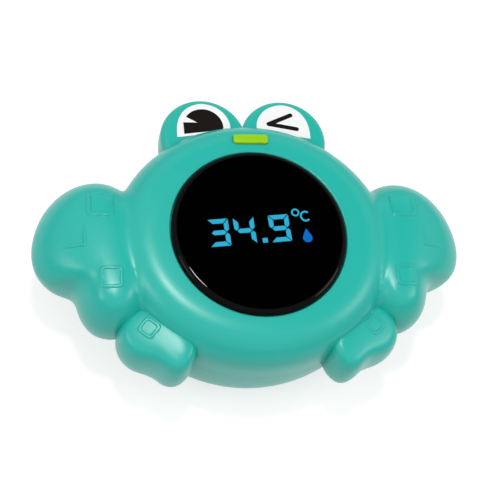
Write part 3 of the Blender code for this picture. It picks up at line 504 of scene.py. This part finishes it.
def hollow():
    """The room inside the bowl and the pockets of the limbs, which leave the bowl's wall whole."""
    room = lathe("room", body_section(WALL, 18), 64, oval=BODY_OVAL)
    outside = lathe("outside", body_section(0.0, 18), 64, oval=BODY_OVAL)
    for outline, rings in ((ARM_POCKET, ARM_POCKET_RINGS), (LEG_POCKET, LEG_POCKET_RINGS)):
        right = pocket("pocket", outline, rings)
        for piece in (mirror_over(right, "pocket_left"), right):
            carve(piece, outside, keep=True)
            carve(room, piece, "UNION")
    bpy.data.objects.remove(outside, do_unlink=True)
    return room


def front_tool(room):
    """Everything that is cut out of the front shell."""
    carve(room, drum("seat", (0, 0), SEAT_R, SEAT_TOP - SEAT_T, BODY_TOP - 0.6, 48))
    for at in BOARD_POSTS:
        carve(room, drum("post", at, 2.5, BOARD_TOP + GAP, SEAT_TOP - 0.5, 20))
    for at, top in zip(CASE_SCREWS, CASE_POST_TOPS):
        carve(room, drum("post", at, CASE_R + GAP + 1.7, PARTING - 2, top, 20))
    lip = [(0, SEAT_TOP), (LENS_R + GAP, SEAT_TOP)]
    lip += arc((LENS_R + GAP + LIP_R, BODY_TOP - LIP_R), LIP_R, 180, 90, 5)
    lip += [(LENS_R + 1.4, HEIGHT + 4), (0, HEIGHT + 4)]
    carve(room, lathe("lens_pocket", lip, 160), "UNION")
    window = turned(rounded(DISPLAY_AT, (36.6, 17.6), 1.6, 3), DISPLAY_TURN, DISPLAY_AT)
    carve(room, slab("window", window, BOARD_TOP, SEAT_TOP + 1), "UNION")
    carve(room, drum("touch_hole", TOUCH_AT, TOUCH_R + 2 * GAP, BOARD_TOP, SEAT_TOP + 1, 24), "UNION")
    for at in BOARD_POSTS:
        carve(room, drum("hole", at, 1.1, BOARD_TOP, SEAT_TOP - 0.9, 12), "UNION")
    for at in CASE_SCREWS:
        carve(room, drum("hole", at, CASE_R + GAP, PARTING - 1, CASE_TIP + GAP, 12), "UNION")
    mouth = rounded((0, MOUTH_AT_Y), [s + 2 * 0.12 for s in MOUTH_SIZE], 0.75, 4)
    carve(room, slab("mouth_pocket", mouth, MOUTH_FLOOR, OPEN_HIGH), "UNION")
    for outline in (WHITE_OUTLINE, mirrored(WHITE_OUTLINE)):
        curve = flowing(outline, 4, closed=False)
        carve(room, slab("white_pocket", wider(curve, 0.06), EYE_TOP - WHITE_T, HEIGHT), "UNION")
    return room


def rear_tool(room):
    """Everything that is cut out of the rear shell."""
    wide = [s + 2 * (GAP + BAY_WALL) for s in DOOR_SIZE]
    rim = rounded((0, DOOR_AT_Y), wide, DOOR_CORNER + GAP + BAY_WALL)
    carve(room, slab("rim", rim, 0.6, BAY_FLOOR + BAY_WALL))
    tall = [s + 2 * BAY_WALL for s in BAY_SIZE]
    tub = rounded((0, DOOR_AT_Y), tall, BAY_CORNER + BAY_WALL)
    carve(room, slab("tub", tub, 1.0, BAY_TOP + BAY_WALL))
    for at in CASE_SCREWS:
        carve(room, drum("post", at, CASE_HEAD_R + GAP + 1.2, 9.4, PARTING + 2, 20))
    carve(room, drum("post", (0, TAB_Y), 3.4, 1.3, 11.0, 20))
    carve(room, drum("boss", CAP_AT, CAP_R + GAP + 2.6, 1.3, 4.5, 32))
    deep, out = PARTING - GROOVE_T, BODY_FLAT + BODY_BULGE
    groove = [(out - GROOVE[0], deep), (out - GROOVE[1], deep),
              (out - GROOVE[1], PARTING + 1), (out - GROOVE[0], PARTING + 1)]
    carve(room, lathe("groove", groove, 96, oval=BODY_OVAL), "UNION")
    door = rounded((0, DOOR_AT_Y), [s + 2 * SNUG for s in DOOR_SIZE], DOOR_CORNER + SNUG)
    carve(room, slab("door_pocket", door, OPEN_LOW, BAY_FLOOR), "UNION")
    carve(room, slab("well", rounded((0, DOOR_AT_Y), BAY_SIZE, BAY_CORNER, 3), 1, BAY_TOP), "UNION")
    for at in CASE_SCREWS:
        carve(room, drum("bore", at, CASE_HEAD_R + GAP, OPEN_LOW, CASE_SEAT, 40), "UNION")
        carve(room, drum("hole", at, CASE_R + GAP, CASE_SEAT - 1, PARTING + 3, 16), "UNION")
    carve(room, drum("tab_pocket", (0, TAB_Y), TAB_R + SNUG, OPEN_LOW, DOOR_T + GAP, 40), "UNION")
    carve(room, drum("tab_hole", (0, TAB_Y), CASE_R + GAP, 1, 9.0, 16), "UNION")
    mouth_r, floor_r = 5.4, 4.8
    recess = [(0, OPEN_LOW), (mouth_r, OPEN_LOW), (mouth_r, 0), (floor_r, 0.6), (floor_r, RECESS_T),
              (CAP_R + GAP, RECESS_T), (CAP_R + GAP, 6), (0, 6)]
    carve(room, lathe("cap_recess", recess, 48, CAP_AT), "UNION")
    for x in (STUD_X, -STUD_X):
        carve(room, drum("stud_recess", (x, STUD_Y), STUD_R + GAP, OPEN_LOW, RECESS_T, 32), "UNION")
        carve(room, drum("stud_hole", (x, STUD_Y), 1.5, 0, 4, 20), "UNION")
    return room


# Materials: shared effects are groups that give colours, values and heights

def effect(name, inputs, outputs):
    tree = bpy.data.node_groups.new(name, "ShaderNodeTree")
    for label, kind, value in inputs:
        socket = tree.interface.new_socket(label, in_out="INPUT", socket_type=kind)
        socket.default_value = value
    for label, kind in outputs:
        tree.interface.new_socket(label, in_out="OUTPUT", socket_type=kind)
    return tree, tree.nodes.new("NodeGroupInput"), tree.nodes.new("NodeGroupOutput")


def wire_up(tree, start, end):
    tree.links.new(start, end)


def node(tree, kind, **values):
    made = tree.nodes.new(kind)
    for key, value in values.items():
        setattr(made, key, value)
    return made


def sum_of(tree, kind, first, second):
    """A Math node on two sockets or numbers."""
    made = node(tree, "ShaderNodeMath", operation=kind)
    for slot, value in zip(made.inputs, (first, second)):
        if isinstance(value, (int, float)):
            slot.default_value = value
        else:
            tree.links.new(value, slot)
    return made.outputs[0]


def noise(tree, scale, detail=2.0, rough=0.5, place=None):
    made = node(tree, "ShaderNodeTexNoise")
    made.inputs["Scale"].default_value = scale
    made.inputs["Detail"].default_value = detail
    made.inputs["Roughness"].default_value = rough
    tree.links.new(place, made.inputs["Vector"])
    return made.outputs["Fac"]


def moulded_effect():
    """Moulded plastic: a slow drift of the colour, a fine grain and smudges in the gloss."""
    tree, start, end = effect("moulded_surface", [
        ("Colour", "NodeSocketColor", (0.5, 0.5, 0.5, 1)), ("Drift", "NodeSocketFloat", 0.04),
        ("Gloss", "NodeSocketFloat", 0.4), ("Smudge", "NodeSocketFloat", 0.05)],
        [("Colour", "NodeSocketColor"), ("Roughness", "NodeSocketFloat"), ("Height", "NodeSocketFloat")])
    place = node(tree, "ShaderNodeTexCoord").outputs["Object"]
    slow = noise(tree, 26.0, 3.0, 0.5, place)
    swing = sum_of(tree, "MULTIPLY", sum_of(tree, "SUBTRACT", slow, 0.5), start.outputs["Drift"])
    tint = node(tree, "ShaderNodeHueSaturation")
    wire_up(tree, start.outputs["Colour"], tint.inputs["Color"])
    wire_up(tree, sum_of(tree, "ADD", swing, 1.0), tint.inputs["Value"])
    wire_up(tree, tint.outputs[0], end.inputs["Colour"])
    cloud = sum_of(tree, "SUBTRACT", noise(tree, 90.0, 4.0, 0.6, place), 0.5)
    smudges = sum_of(tree, "MULTIPLY", cloud, start.outputs["Smudge"])
    rough = sum_of(tree, "ADD", start.outputs["Gloss"], smudges)
    wire_up(tree, rough, end.inputs["Roughness"])
    wire_up(tree, noise(tree, 3800.0, 2.0, 0.5, place), end.inputs["Height"])
    return tree


def metal_effect():
    """Turned or drawn metal: fine lines and a few dull patches."""
    tree, start, end = effect("drawn_metal", [
        ("Colour", "NodeSocketColor", (0.6, 0.6, 0.6, 1)), ("Gloss", "NodeSocketFloat", 0.3),
        ("Lines", "NodeSocketFloat", 900.0)],
        [("Colour", "NodeSocketColor"), ("Roughness", "NodeSocketFloat"), ("Height", "NodeSocketFloat")])
    place = node(tree, "ShaderNodeTexCoord").outputs["Object"]
    lines = node(tree, "ShaderNodeTexWave", wave_type="RINGS", rings_direction="Z")
    lines.inputs["Distortion"].default_value = 3.0
    lines.inputs["Detail"].default_value = 2.0
    wire_up(tree, place, lines.inputs["Vector"])
    wire_up(tree, start.outputs["Lines"], lines.inputs["Scale"])
    dull = noise(tree, 420.0, 3.0, 0.6, place)
    tint = node(tree, "ShaderNodeHueSaturation")
    wire_up(tree, start.outputs["Colour"], tint.inputs["Color"])
    wire_up(tree, sum_of(tree, "ADD", sum_of(tree, "MULTIPLY", dull, 0.3), 0.85), tint.inputs["Value"])
    wire_up(tree, tint.outputs[0], end.inputs["Colour"])
    rough = sum_of(tree, "ADD", start.outputs["Gloss"], sum_of(tree, "MULTIPLY", dull, 0.12))
    wire_up(tree, rough, end.inputs["Roughness"])
    wire_up(tree, lines.outputs["Fac"], end.inputs["Height"])
    return tree


MOULDED, METAL = moulded_effect(), metal_effect()


def finish_of(name, surface, values, bump=0.0, depth=0.02, **sockets):
    """A material whose shader takes its colour, gloss and relief from a shared effect."""
    mat = bpy.data.materials.new(name)
    mat.use_nodes = True
    tree = mat.node_tree
    shader = tree.nodes["Principled BSDF"]
    group = node(tree, "ShaderNodeGroup", node_tree=surface)
    for label, value in values.items():
        group.inputs[label].default_value = value
    wire_up(tree, group.outputs["Colour"], shader.inputs["Base Color"])
    wire_up(tree, group.outputs["Roughness"], shader.inputs["Roughness"])
    if bump:
        relief = node(tree, "ShaderNodeBump")
        relief.inputs["Strength"].default_value = bump
        relief.inputs["Distance"].default_value = depth * MM
        wire_up(tree, group.outputs["Height"], relief.inputs["Height"])
        wire_up(tree, relief.outputs["Normal"], shader.inputs["Normal"])
    for label, value in sockets.items():
        shader.inputs[label.replace("_", " ")].default_value = value
    mat.diffuse_color = tuple(values["Colour"])
    return mat


def plastic(name, colour, gloss, drift=0.05, smudge=0.06, bump=0.12, **sockets):
    values = {"Colour": (*colour, 1), "Drift": drift, "Gloss": gloss, "Smudge": smudge}
    return finish_of(name, MOULDED, values, bump, **sockets)


def metal(name, colour, gloss, lines=900.0, bump=0.1):
    values = {"Colour": (*colour, 1), "Gloss": gloss, "Lines": lines}
    return finish_of(name, METAL, values, bump, Metallic=1.0)


TEAL = plastic("teal_satin_plastic", (0.017, 0.472, 0.396), 0.29, 0.05, 0.05, Specular_IOR_Level=0.42)
WHITE = plastic("white_enamel", (0.93, 0.94, 0.94), 0.26, 0.02, 0.04)
INK = plastic("black_enamel", (0.009, 0.006, 0.005), 0.32, 0.2, 0.05, Specular_IOR_Level=0.15)
LIME = plastic("lime_plastic", (0.31, 0.62, 0.004), 0.34, 0.05, 0.05, Specular_IOR_Level=0.35)
BLACK = plastic("black_plastic", (0.0015, 0.0015, 0.0015), 0.6, 0.2, 0.1, Specular_IOR_Level=0.05)
FOAM = plastic("black_foam_tape", (0.012, 0.012, 0.012), 0.85, 0.3, 0.1, 0.6)
RUBBER = plastic("grey_rubber", (0.20, 0.21, 0.21), 0.75, 0.1, 0.1, 0.3)
EPOXY = plastic("epoxy", (0.05, 0.04, 0.03), 0.25, 0.3, 0.1)
BUZZER = plastic("buzzer_case", (0.02, 0.02, 0.021), 0.4, 0.2, 0.1)
CHIP = plastic("chip_case", (0.018, 0.018, 0.02), 0.55, 0.3, 0.1, 0.3)
BOARD = plastic("green_board", (0.008, 0.13, 0.045), 0.35, 0.5, 0.15, 0.2)
SLEEVE = plastic("cell_sleeve", (0.02, 0.10, 0.30), 0.3, 0.1, 0.08)
STEEL = metal("steel", (0.58, 0.58, 0.56), 0.22)
SPRING = metal("spring_wire", (0.52, 0.51, 0.47), 0.28, 2500.0)
GOLD = metal("gilt_contact", (0.72, 0.60, 0.38), 0.22, 1400.0)
PRINTED = plastic("black_printed_lens", (0.0003, 0.0002, 0.0004), 0.02, 0.1, 0.02, 0.0,
                  Specular_IOR_Level=0.11)
GLASS = plastic("smoked_glass", (0.10, 0.10, 0.11), 0.0, 0.05, 0.0, 0.0, Transmission_Weight=1.0, IOR=1.45,
                Specular_IOR_Level=0.11)


def lit_sign(name, colour, strength, level):
    """A light guide: its raised face glows, its plate below the level stays dark."""
    mat = plastic(name, (0.0015, 0.0015, 0.0015), 0.6, 0.1, 0.1, 0.0, Specular_IOR_Level=0.05)
    tree = mat.node_tree
    shader = tree.nodes["Principled BSDF"]
    place = node(tree, "ShaderNodeTexCoord").outputs["Object"]
    split = node(tree, "ShaderNodeSeparateXYZ")
    wire_up(tree, place, split.inputs[0])
    high = sum_of(tree, "GREATER_THAN", split.outputs["Z"], level * MM)
    haze = sum_of(tree, "ADD", sum_of(tree, "MULTIPLY", noise(tree, 700.0, 2.0, 0.5, place), 0.16), 0.92)
    mix = node(tree, "ShaderNodeMix", data_type="RGBA")
    mix.inputs["A"].default_value = (0, 0, 0, 1)
    mix.inputs["B"].default_value = (*colour, 1)
    wire_up(tree, sum_of(tree, "MULTIPLY", high, haze), mix.inputs["Factor"])
    wire_up(tree, mix.outputs["Result"], shader.inputs["Emission Color"])
    shader.inputs["Emission Strength"].default_value = strength
    return mat


GLOW = lit_sign("sky_blue_light", (0.036, 0.50, 0.70), 9.0, 35.2)
DEEP_GLOW = lit_sign("deep_blue_light", (0.007, 0.20, 0.68), 8.0, 35.2)


def give(piece, mat):
    piece.data.materials.clear()
    piece.data.materials.append(mat)


def stand_in(piece, mat, slot, *nodes):
    """Hands a finished piece to the frame in place of its solids."""
    give(piece, mat)
    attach(piece, "root")
    if nodes:
        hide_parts(*nodes)


def dress(names, mat):
    """Gives solids whose shape is right a better surface."""
    for name in names:
        item = NODES[name]
        for slot in item.material_slots:
            slot.material = mat


# Camera, floor and light

SENSOR, FOCAL = 36.0, 102.67
CAMERA_AT = (-0.0854, -0.1618, 0.3887)
CAMERA_AXES = (0.9787, -0.0870, 0.1857), (0.0033, 0.9122, 0.4098), (-0.2051, -0.4005, 0.8930)
FLOOR_TONE, FLOOR_GLOW, FLOOR_DROP = 0.50, 0.64, 0.02
SKY_STRENGTH = 0.76
LENS_MIRROR = (0.205, 0.4005, 0.893)    # where the camera sees the sky in the lens
LAMPS = [("key_light", (-0.08, 0.19, 0.98), 1.0, 0.12, 2.7),
         ("side_light", (0.74, -0.08, 0.68), 0.9, 0.34, 1.1),
         ("left_light", (-0.80, -0.10, 0.60), 0.9, 0.34, 1.0)]
LAMP_AIM = Vector((0, 0, 0.02))


def set_camera():
    lens = bpy.data.cameras.new("camera")
    lens.sensor_width, lens.lens, lens.clip_start = SENSOR, FOCAL, 0.01
    camera = bpy.data.objects.new("camera", lens)
    bpy.context.scene.collection.objects.link(camera)
    turn = Matrix(CAMERA_AXES).transposed().to_4x4()
    camera.matrix_world = Matrix.Translation(CAMERA_AT) @ turn
    bpy.context.scene.camera = camera
    bpy.context.scene.view_settings.view_transform = "Standard"


def set_floor():
    """A white floor that keeps a soft shadow and lets the underside be seen from below."""
    lay_down()
    bpy.ops.mesh.primitive_plane_add(size=4.0, location=(0, 0, -FLOOR_DROP * MM))
    floor = name_it("floor")
    mat = bpy.data.materials.new("white_floor")
    mat.use_nodes = True
    tree = mat.node_tree
    shader = tree.nodes["Principled BSDF"]
    shader.inputs["Base Color"].default_value = (FLOOR_TONE, FLOOR_TONE, FLOOR_TONE, 1)
    shader.inputs["Roughness"].default_value = 0.9
    shader.inputs["Specular IOR Level"].default_value = 0.0
    path = node(tree, "ShaderNodeLightPath").outputs
    seen = sum_of(tree, "MAXIMUM", path["Is Camera Ray"], path["Is Glossy Ray"])
    wire_up(tree, sum_of(tree, "MAXIMUM", seen, path["Is Transmission Ray"]), shader.inputs["Emission Color"])
    shader.inputs["Emission Strength"].default_value = FLOOR_GLOW
    under = node(tree, "ShaderNodeMixShader")
    wire_up(tree, node(tree, "ShaderNodeNewGeometry").outputs["Backfacing"], under.inputs[0])
    wire_up(tree, shader.outputs[0], under.inputs[1])
    wire_up(tree, node(tree, "ShaderNodeBsdfTransparent").outputs[0], under.inputs[2])
    wire_up(tree, under.outputs[0], tree.nodes["Material Output"].inputs["Surface"])
    give(floor, mat)


def set_sky():
    """An even dome, a little darker low down, with a dark patch that the lens mirrors."""
    world = bpy.data.worlds.new("studio")
    bpy.context.scene.world = world
    world.use_nodes = True
    tree = world.node_tree
    back = tree.nodes["Background"]
    place = node(tree, "ShaderNodeTexCoord").outputs["Generated"]
    split = node(tree, "ShaderNodeSeparateXYZ")
    wire_up(tree, place, split.inputs[0])
    horizon = node(tree, "ShaderNodeMapRange", interpolation_type="SMOOTHSTEP")
    dark = node(tree, "ShaderNodeMapRange", interpolation_type="SMOOTHSTEP")
    toward = node(tree, "ShaderNodeVectorMath", operation="DOT_PRODUCT")
    toward.inputs[1].default_value = LENS_MIRROR
    wire_up(tree, place, toward.inputs[0])
    wire_up(tree, split.outputs["Z"], horizon.inputs["Value"])
    wire_up(tree, toward.outputs["Value"], dark.inputs["Value"])
    for fade, values in ((horizon, (0.0, 0.6, 0.5, 1.0)), (dark, (0.88, 0.975, 1.0, 0.01))):
        for label, value in zip(("From Min", "From Max", "To Min", "To Max"), values):
            fade.inputs[label].default_value = value
    wire_up(tree, sum_of(tree, "MULTIPLY", horizon.outputs[0], dark.outputs[0]), back.inputs["Color"])
    back.inputs["Strength"].default_value = SKY_STRENGTH


def hang_lamp(name, way, distance, size, watts):
    data = bpy.data.lights.new(name, "AREA")
    data.shape = "DISK"
    data.size = size
    data.energy = watts
    item = bpy.data.objects.new(name, data)
    bpy.context.scene.collection.objects.link(item)
    aim = Vector(way).normalized()
    item.location = aim * distance + LAMP_AIM
    item.rotation_euler = aim.to_track_quat("Z", "Y").to_euler()


set_camera()
set_floor()
set_sky()
for values in LAMPS:
    hang_lamp(*values)

# Housing

form = outer_form()
around = rounded((0, 0), (160, 120), 5, 1)
below = slab("below", around, -10, PARTING + SEAM / 2)
above = slab("above", around, PARTING - SEAM / 2, 60)
room = hollow()
front_core = front_tool(twin(room, "front_core"))
rear_core = rear_tool(room)
front = twin(form, "front_housing")
rear = form
rear.name = "rear_housing"
for shell, half, core in ((front, below, front_core), (rear, above, rear_core)):
    carve(shell, half)
    carve(shell, core)
raise_marks(front)
for shell, solid in ((front, "front_shell"), (rear, "rear_shell")):
    shade(shell, 32)
    stand_in(shell, TEAL, "teal_plastic", solid)

# Lens: printed black from below, with a smoked window over the display

WINDOW = (34.0, 14.6)
EDGE_WIDE, EDGE_TALL = 1.9, 1.1
glass = lathe("lens_glass", [(0, LENS_BOTTOM), (LENS_R - 0.25, LENS_BOTTOM), (LENS_R, LENS_BOTTOM + 0.25)]
              + [(LENS_R - EDGE_WIDE * (1 - cos(radians(a))), HEIGHT - EDGE_TALL * (1 - sin(radians(a))))
                 for a in range(0, 91, 6)] + [(0, HEIGHT)], 160)
pick_up(glass, edit=True)
along, across = turned([(1, 0), (0, 1)], DISPLAY_TURN)
for way, half in ((along, WINDOW[0] / 2), (across, WINDOW[1] / 2)):
    for side in (1, -1):
        bpy.ops.mesh.select_all(action="SELECT")
        spot = (DISPLAY_AT[0] + side * half * way[0], DISPLAY_AT[1] + side * half * way[1])
        bpy.ops.mesh.bisect(plane_co=(spot[0] * MM, spot[1] * MM, 0), plane_no=(*way, 0))
lay_down()
shade(glass, 40)
stand_in(glass, PRINTED, "smoked_lens", "display_lens")
glass.data.materials.append(GLASS)
for face in glass.data.polygons:
    (u, v), = turned([(face.center.x / MM, face.center.y / MM)], -DISPLAY_TURN, DISPLAY_AT)
    if abs(u - DISPLAY_AT[0]) < WINDOW[0] / 2 and abs(v - DISPLAY_AT[1]) < WINDOW[1] / 2:
        face.material_index = 1

# Mouth and eyes

mouth = slab("mouth_bar", rounded((0, MOUTH_AT_Y), MOUTH_SIZE, 0.65, 5), MOUTH_FLOOR + GAP, MOUTH_TOP)
ease_edges(mouth, 0.3)
shade(mouth)
stand_in(mouth, LIME, "lime_plastic", "mouth_inlay")


def pupil_outline():
    foot = PUPIL_FLAT - PUPIL_AT[1]
    points = [(PUPIL_AT[0] + x, PUPIL_AT[1] + y) for x, y in arc((0, 0), PUPIL_R, -3.5, 146, 30)]
    low = radians(172)
    points += [(PUPIL_AT[0] - 1.6, PUPIL_AT[1] + 1.4),
               (PUPIL_AT[0] + PUPIL_R * cos(low), PUPIL_AT[1] + PUPIL_R * sin(low) + 0.6),
               (PUPIL_AT[0] - PUPIL_R + 0.1, PUPIL_AT[1] + foot),
               (PUPIL_AT[0] + PUPIL_R - 0.4, PUPIL_AT[1] + foot + 1.5)]
    return points


def stroke(points, width):
    """Outline of a brush stroke with round ends along a bent line."""
    (ax, ay), (bx, by), (cx, cy) = points
    one, two = atan2(ay - by, ax - bx), atan2(cy - by, cx - bx)
    w = width / 2
    half = (one - two) / 2
    mid = (one + two) / 2
    inner = (bx + w / sin(half) * cos(mid), by + w / sin(half) * sin(mid))
    deg = 180 / pi
    return (arc((ax, ay), w, one * deg - 90, one * deg + 90, 8)
            + arc((bx, by), w, one * deg + 90, two * deg + 270, 8)
            + arc((cx, cy), w, two * deg - 90, two * deg + 90, 8) + [inner])


WHITE_TOP = EYE_TOP + WHITE_PROUD
WHITE_LOW = EYE_TOP - WHITE_T + GAP
curve = flowing(WHITE_OUTLINE, 4, closed=False)
eye_right = slab("eye_white_right_face", curve, WHITE_LOW, WHITE_TOP)
eye_left = mirror_over(eye_right, "eye_white_left_face")
pupil = slab("pupil_left_face", pupil_outline(), WHITE_TOP - INK_T, WHITE_TOP + INK_PROUD)
wink = slab("wink_right_face", stroke(WINK, 1.3), WHITE_TOP - INK_T, WHITE_TOP + INK_PROUD)
for white, print_face in ((eye_left, pupil), (eye_right, wink)):
    tool = twin(print_face, "print_pocket")
    pick_up(tool, edit=True)
    bpy.ops.transform.translate(value=(0, 0, -INK_PROUD * MM))
    lay_down()
    carve(white, tool)
for piece in (eye_right, eye_left):
    ease_edges(piece, 0.12, 2, 50)
    shade(piece)
for piece in (pupil, wink):
    shade(piece)
stand_in(eye_right, WHITE, "white_plastic", "eye_white_right")
stand_in(eye_left, WHITE, "white_plastic", "eye_white_left")
stand_in(pupil, INK, "black_ink", "pupil_left")
stand_in(wink, INK, "black_ink", "wink_right")

# Lit signs: a dark foot in the block's pocket and a glowing face over it

SIGN_FOOT, SIGN_LOW, SIGN_STEP, SIGN_TOP = 34.1, 35.02, 35.06, 35.3
CELL_W, CELL_H, BAR, SPLIT, LEAN = 6.0, 8.4, 1.35, 0.19, 0.025


def on_display(points, lean=0.0):
    leaned = [(x + lean * y, y) for x, y in points]
    return [(x + DISPLAY_AT[0], y + DISPLAY_AT[1]) for x, y in turned(leaned, DISPLAY_TURN)]


def bars_of(at, lit):
    """Outlines of the lit bars of a digit, with mitred corners."""
    w, h = CELL_W / 2, CELL_H / 2
    top = [(w - SPLIT, h), (SPLIT - w, h), (BAR + SPLIT - w, h - BAR), (w - BAR - SPLIT, h - BAR)]
    side = [(w, BAR / 2 + SPLIT), (w, h - SPLIT), (w - BAR, h - BAR - SPLIT), (w - BAR, BAR / 2 + SPLIT),
            (w - BAR / 2, SPLIT)]
    half = [(w - BAR / 2 - SPLIT, 0), (w - BAR - SPLIT, BAR / 2), (BAR + SPLIT - w, BAR / 2)]
    flip = {"a": (top, 1, 1), "b": (side, 1, 1), "c": (side, 1, -1), "d": (top, 1, -1), "f": (side, -1, 1),
            "g": (half + [(-x, -y) for x, y in half], 1, 1)}
    bars = []
    for key in lit:
        outline, sx, sy = flip[key]
        bars.append(on_display([(at[0] + sx * x, at[1] + sy * y) for x, y in outline], LEAN))
    return bars


def lit_piece(solid, foot, outlines, mat, faces=()):
    """Joins a sign's foot with its raised outlines."""
    parts = [slab(solid + "_foot", foot, SIGN_FOOT, SIGN_STEP)] + list(faces)
    parts += [slab(solid + "_bar", outline, SIGN_LOW, SIGN_TOP) for outline in outlines]
    piece = put_together(parts, solid + "_face")
    shade(piece)
    stand_in(piece, mat, "deep_blue_glow" if mat is DEEP_GLOW else "blue_glow", solid)


# Each digit: its solid, where its foot stands, the middle of its face, and the bars that are lit
DIGITS = [("digit_3", -12.05, (-12.0, -0.25), "abcdg"), ("digit_4", -4.9, (-4.5, -0.25), "bcfg"),
          ("digit_9", 5.4, (5.8, -0.37), "abcdfg")]
for solid, foot_x, at, lit in DIGITS:
    lit_piece(solid, on_display(rounded((foot_x, 0), (5.6, 8.6), 0.2, 1)), bars_of(at, lit), GLOW)
lit_piece("decimal_point", on_display(rounded((0.5, -3.75), (1.1, 1.1), 0.2, 1)),
          [on_display(rounded((0.86, -3.75), (1.5, 1.4), 0.12, 2))], GLOW)
degree_at, = on_display([(11.2, 4.15)])
hole, rim = 0.74, 1.22
degree = lathe("degree", [(hole, SIGN_LOW), (rim, SIGN_LOW), (rim, SIGN_TOP), (hole, SIGN_TOP)], 36, degree_at)
lit_piece("degree_ring", on_display(ring_of((10.75, 4.1), 0.95, 16)), [], GLOW, [degree])
letter_at = (14.0, 2.75)
letter = [(letter_at[0] + 1.6 * x, letter_at[1] + 1.7 * y) for x, y in arc((0, 0), 1, 46, 314, 22)]
letter += [(letter_at[0] + 1.08 * x, letter_at[1] + 1.18 * y) for x, y in arc((0, 0), 1, 314, 46, 22)]
lit_piece("letter_c", on_display(ring_of((13.65, 2.7), 1.3, 16)), [on_display(letter)], GLOW)
drop = [(13.4, -1.15)] + arc((13.4, -4.05), 1.4, 152, 388, 22)
lit_piece("water_drop", on_display(ring_of((13.2, -3.4), 1.2, 16)), [on_display(drop)], DEEP_GLOW)

# Underside: door, screws, sensor cap and water contacts

door = slab("door_panel", rounded((0, DOOR_AT_Y), DOOR_SIZE, DOOR_CORNER, 8), 0, DOOR_T)
carve(door, drum("tab", (0, TAB_Y), TAB_R, 0, DOOR_T, 48), "UNION")
carve(door, drum("tab_sink", (0, TAB_Y), 2.3, -1, 0.9, 32))
carve(door, drum("tab_hole", (0, TAB_Y), CASE_R + GAP, 0, 4, 24))
GRIP_SIZE, GRIP_START, GRIP_STEP = (1.2, 12.0), 6 - DOOR_SIZE[0] / 2, 2.6
for k in range(3):
    grip = rounded((GRIP_START + k * GRIP_STEP, DOOR_AT_Y), GRIP_SIZE, 0.58, 4)
    carve(door, slab("grip", grip, -1, 0.5))
ease_edges(door, 0.22, 2)
shade(door)
stand_in(door, TEAL, "teal_plastic", "battery_door")


def screw(name, at, head_low, head_r, shank_low, tip):
    """A pan-head screw seen from below, with a cross recess and a rounded head."""
    soft, long, thin = 0.45, 2.3, 0.55
    piece = lathe(name, [(0, head_low)] + arc((head_r - soft, head_low + soft), soft, 270, 360, 5)
                  + [(head_r, shank_low), (CASE_R, shank_low), (CASE_R, tip - 0.8), (0, tip)], 32, at)
    for size in ((long, thin), (thin, long)):
        carve(piece, slab("cross", rounded(at, size, 0.12, 2), head_low - 1, head_low + soft))
    shade(piece)
    return piece


stand_in(screw("door_screw_head", (0, TAB_Y), 0.1, 2.0, 0.6, 8.4), STEEL, "steel", "door_screw")
for name, at in zip(("arm_right", "arm_left", "leg_right", "leg_left"), CASE_SCREWS):
    seat = CASE_SEAT - GAP
    piece = screw("case_screw_head_" + name, at, seat - 1.5, CASE_HEAD_R, seat, CASE_TIP)
    stand_in(piece, STEEL, "steel", "case_screw_" + name)
cap = lathe("sensor_cap_shell", [(0, 0.3)] + arc((CAP_R - 0.7, 1.0), 0.7, 270, 360, 6) + [
    (CAP_R, 4.8), (5.0, 4.8), (5.0, 5.3), (2.7, 5.3), (2.7, 0.9), (0, 0.9)], 64, CAP_AT)
shade(cap)
stand_in(cap, STEEL, "steel", "sensor_cap")
stem = 1.2
section = [(0, 0.1), (1.6, 0.16)] + arc((1.75, 0.6), 0.45, 270, 360, 5)
section += [(STUD_R, 0.9), (stem, 0.9), (stem, 5.0), (0, 5.0)]
for side, x in (("right", STUD_X), ("left", -STUD_X)):
    stud = lathe("water_contact_face_" + side, section, 40, (x, STUD_Y))
    shade(stud)
    stand_in(stud, GOLD, "steel", "water_contact_" + side)

# Solids that stay

dress(["display_block"], BLACK)
dress(["lens_tape"], FOAM)
dress(["seal_cord", "door_seal"], RUBBER)
dress(["circuit_board"], BOARD)
dress(["controller_chip"], CHIP)
dress(["buzzer"], BUZZER)
dress(["battery_front", "battery_back"], SLEEVE)
dress(["touch_spring", "battery_front_spring", "battery_back_spring"], SPRING)
dress(["board_screw_1", "board_screw_2", "board_screw_3", "contact_plate_left", "contact_plate_plus",
       "contact_plate_minus"], STEEL)
dress(["sensor_bead", "sensor_potting"], EPOXY)

lay_down()
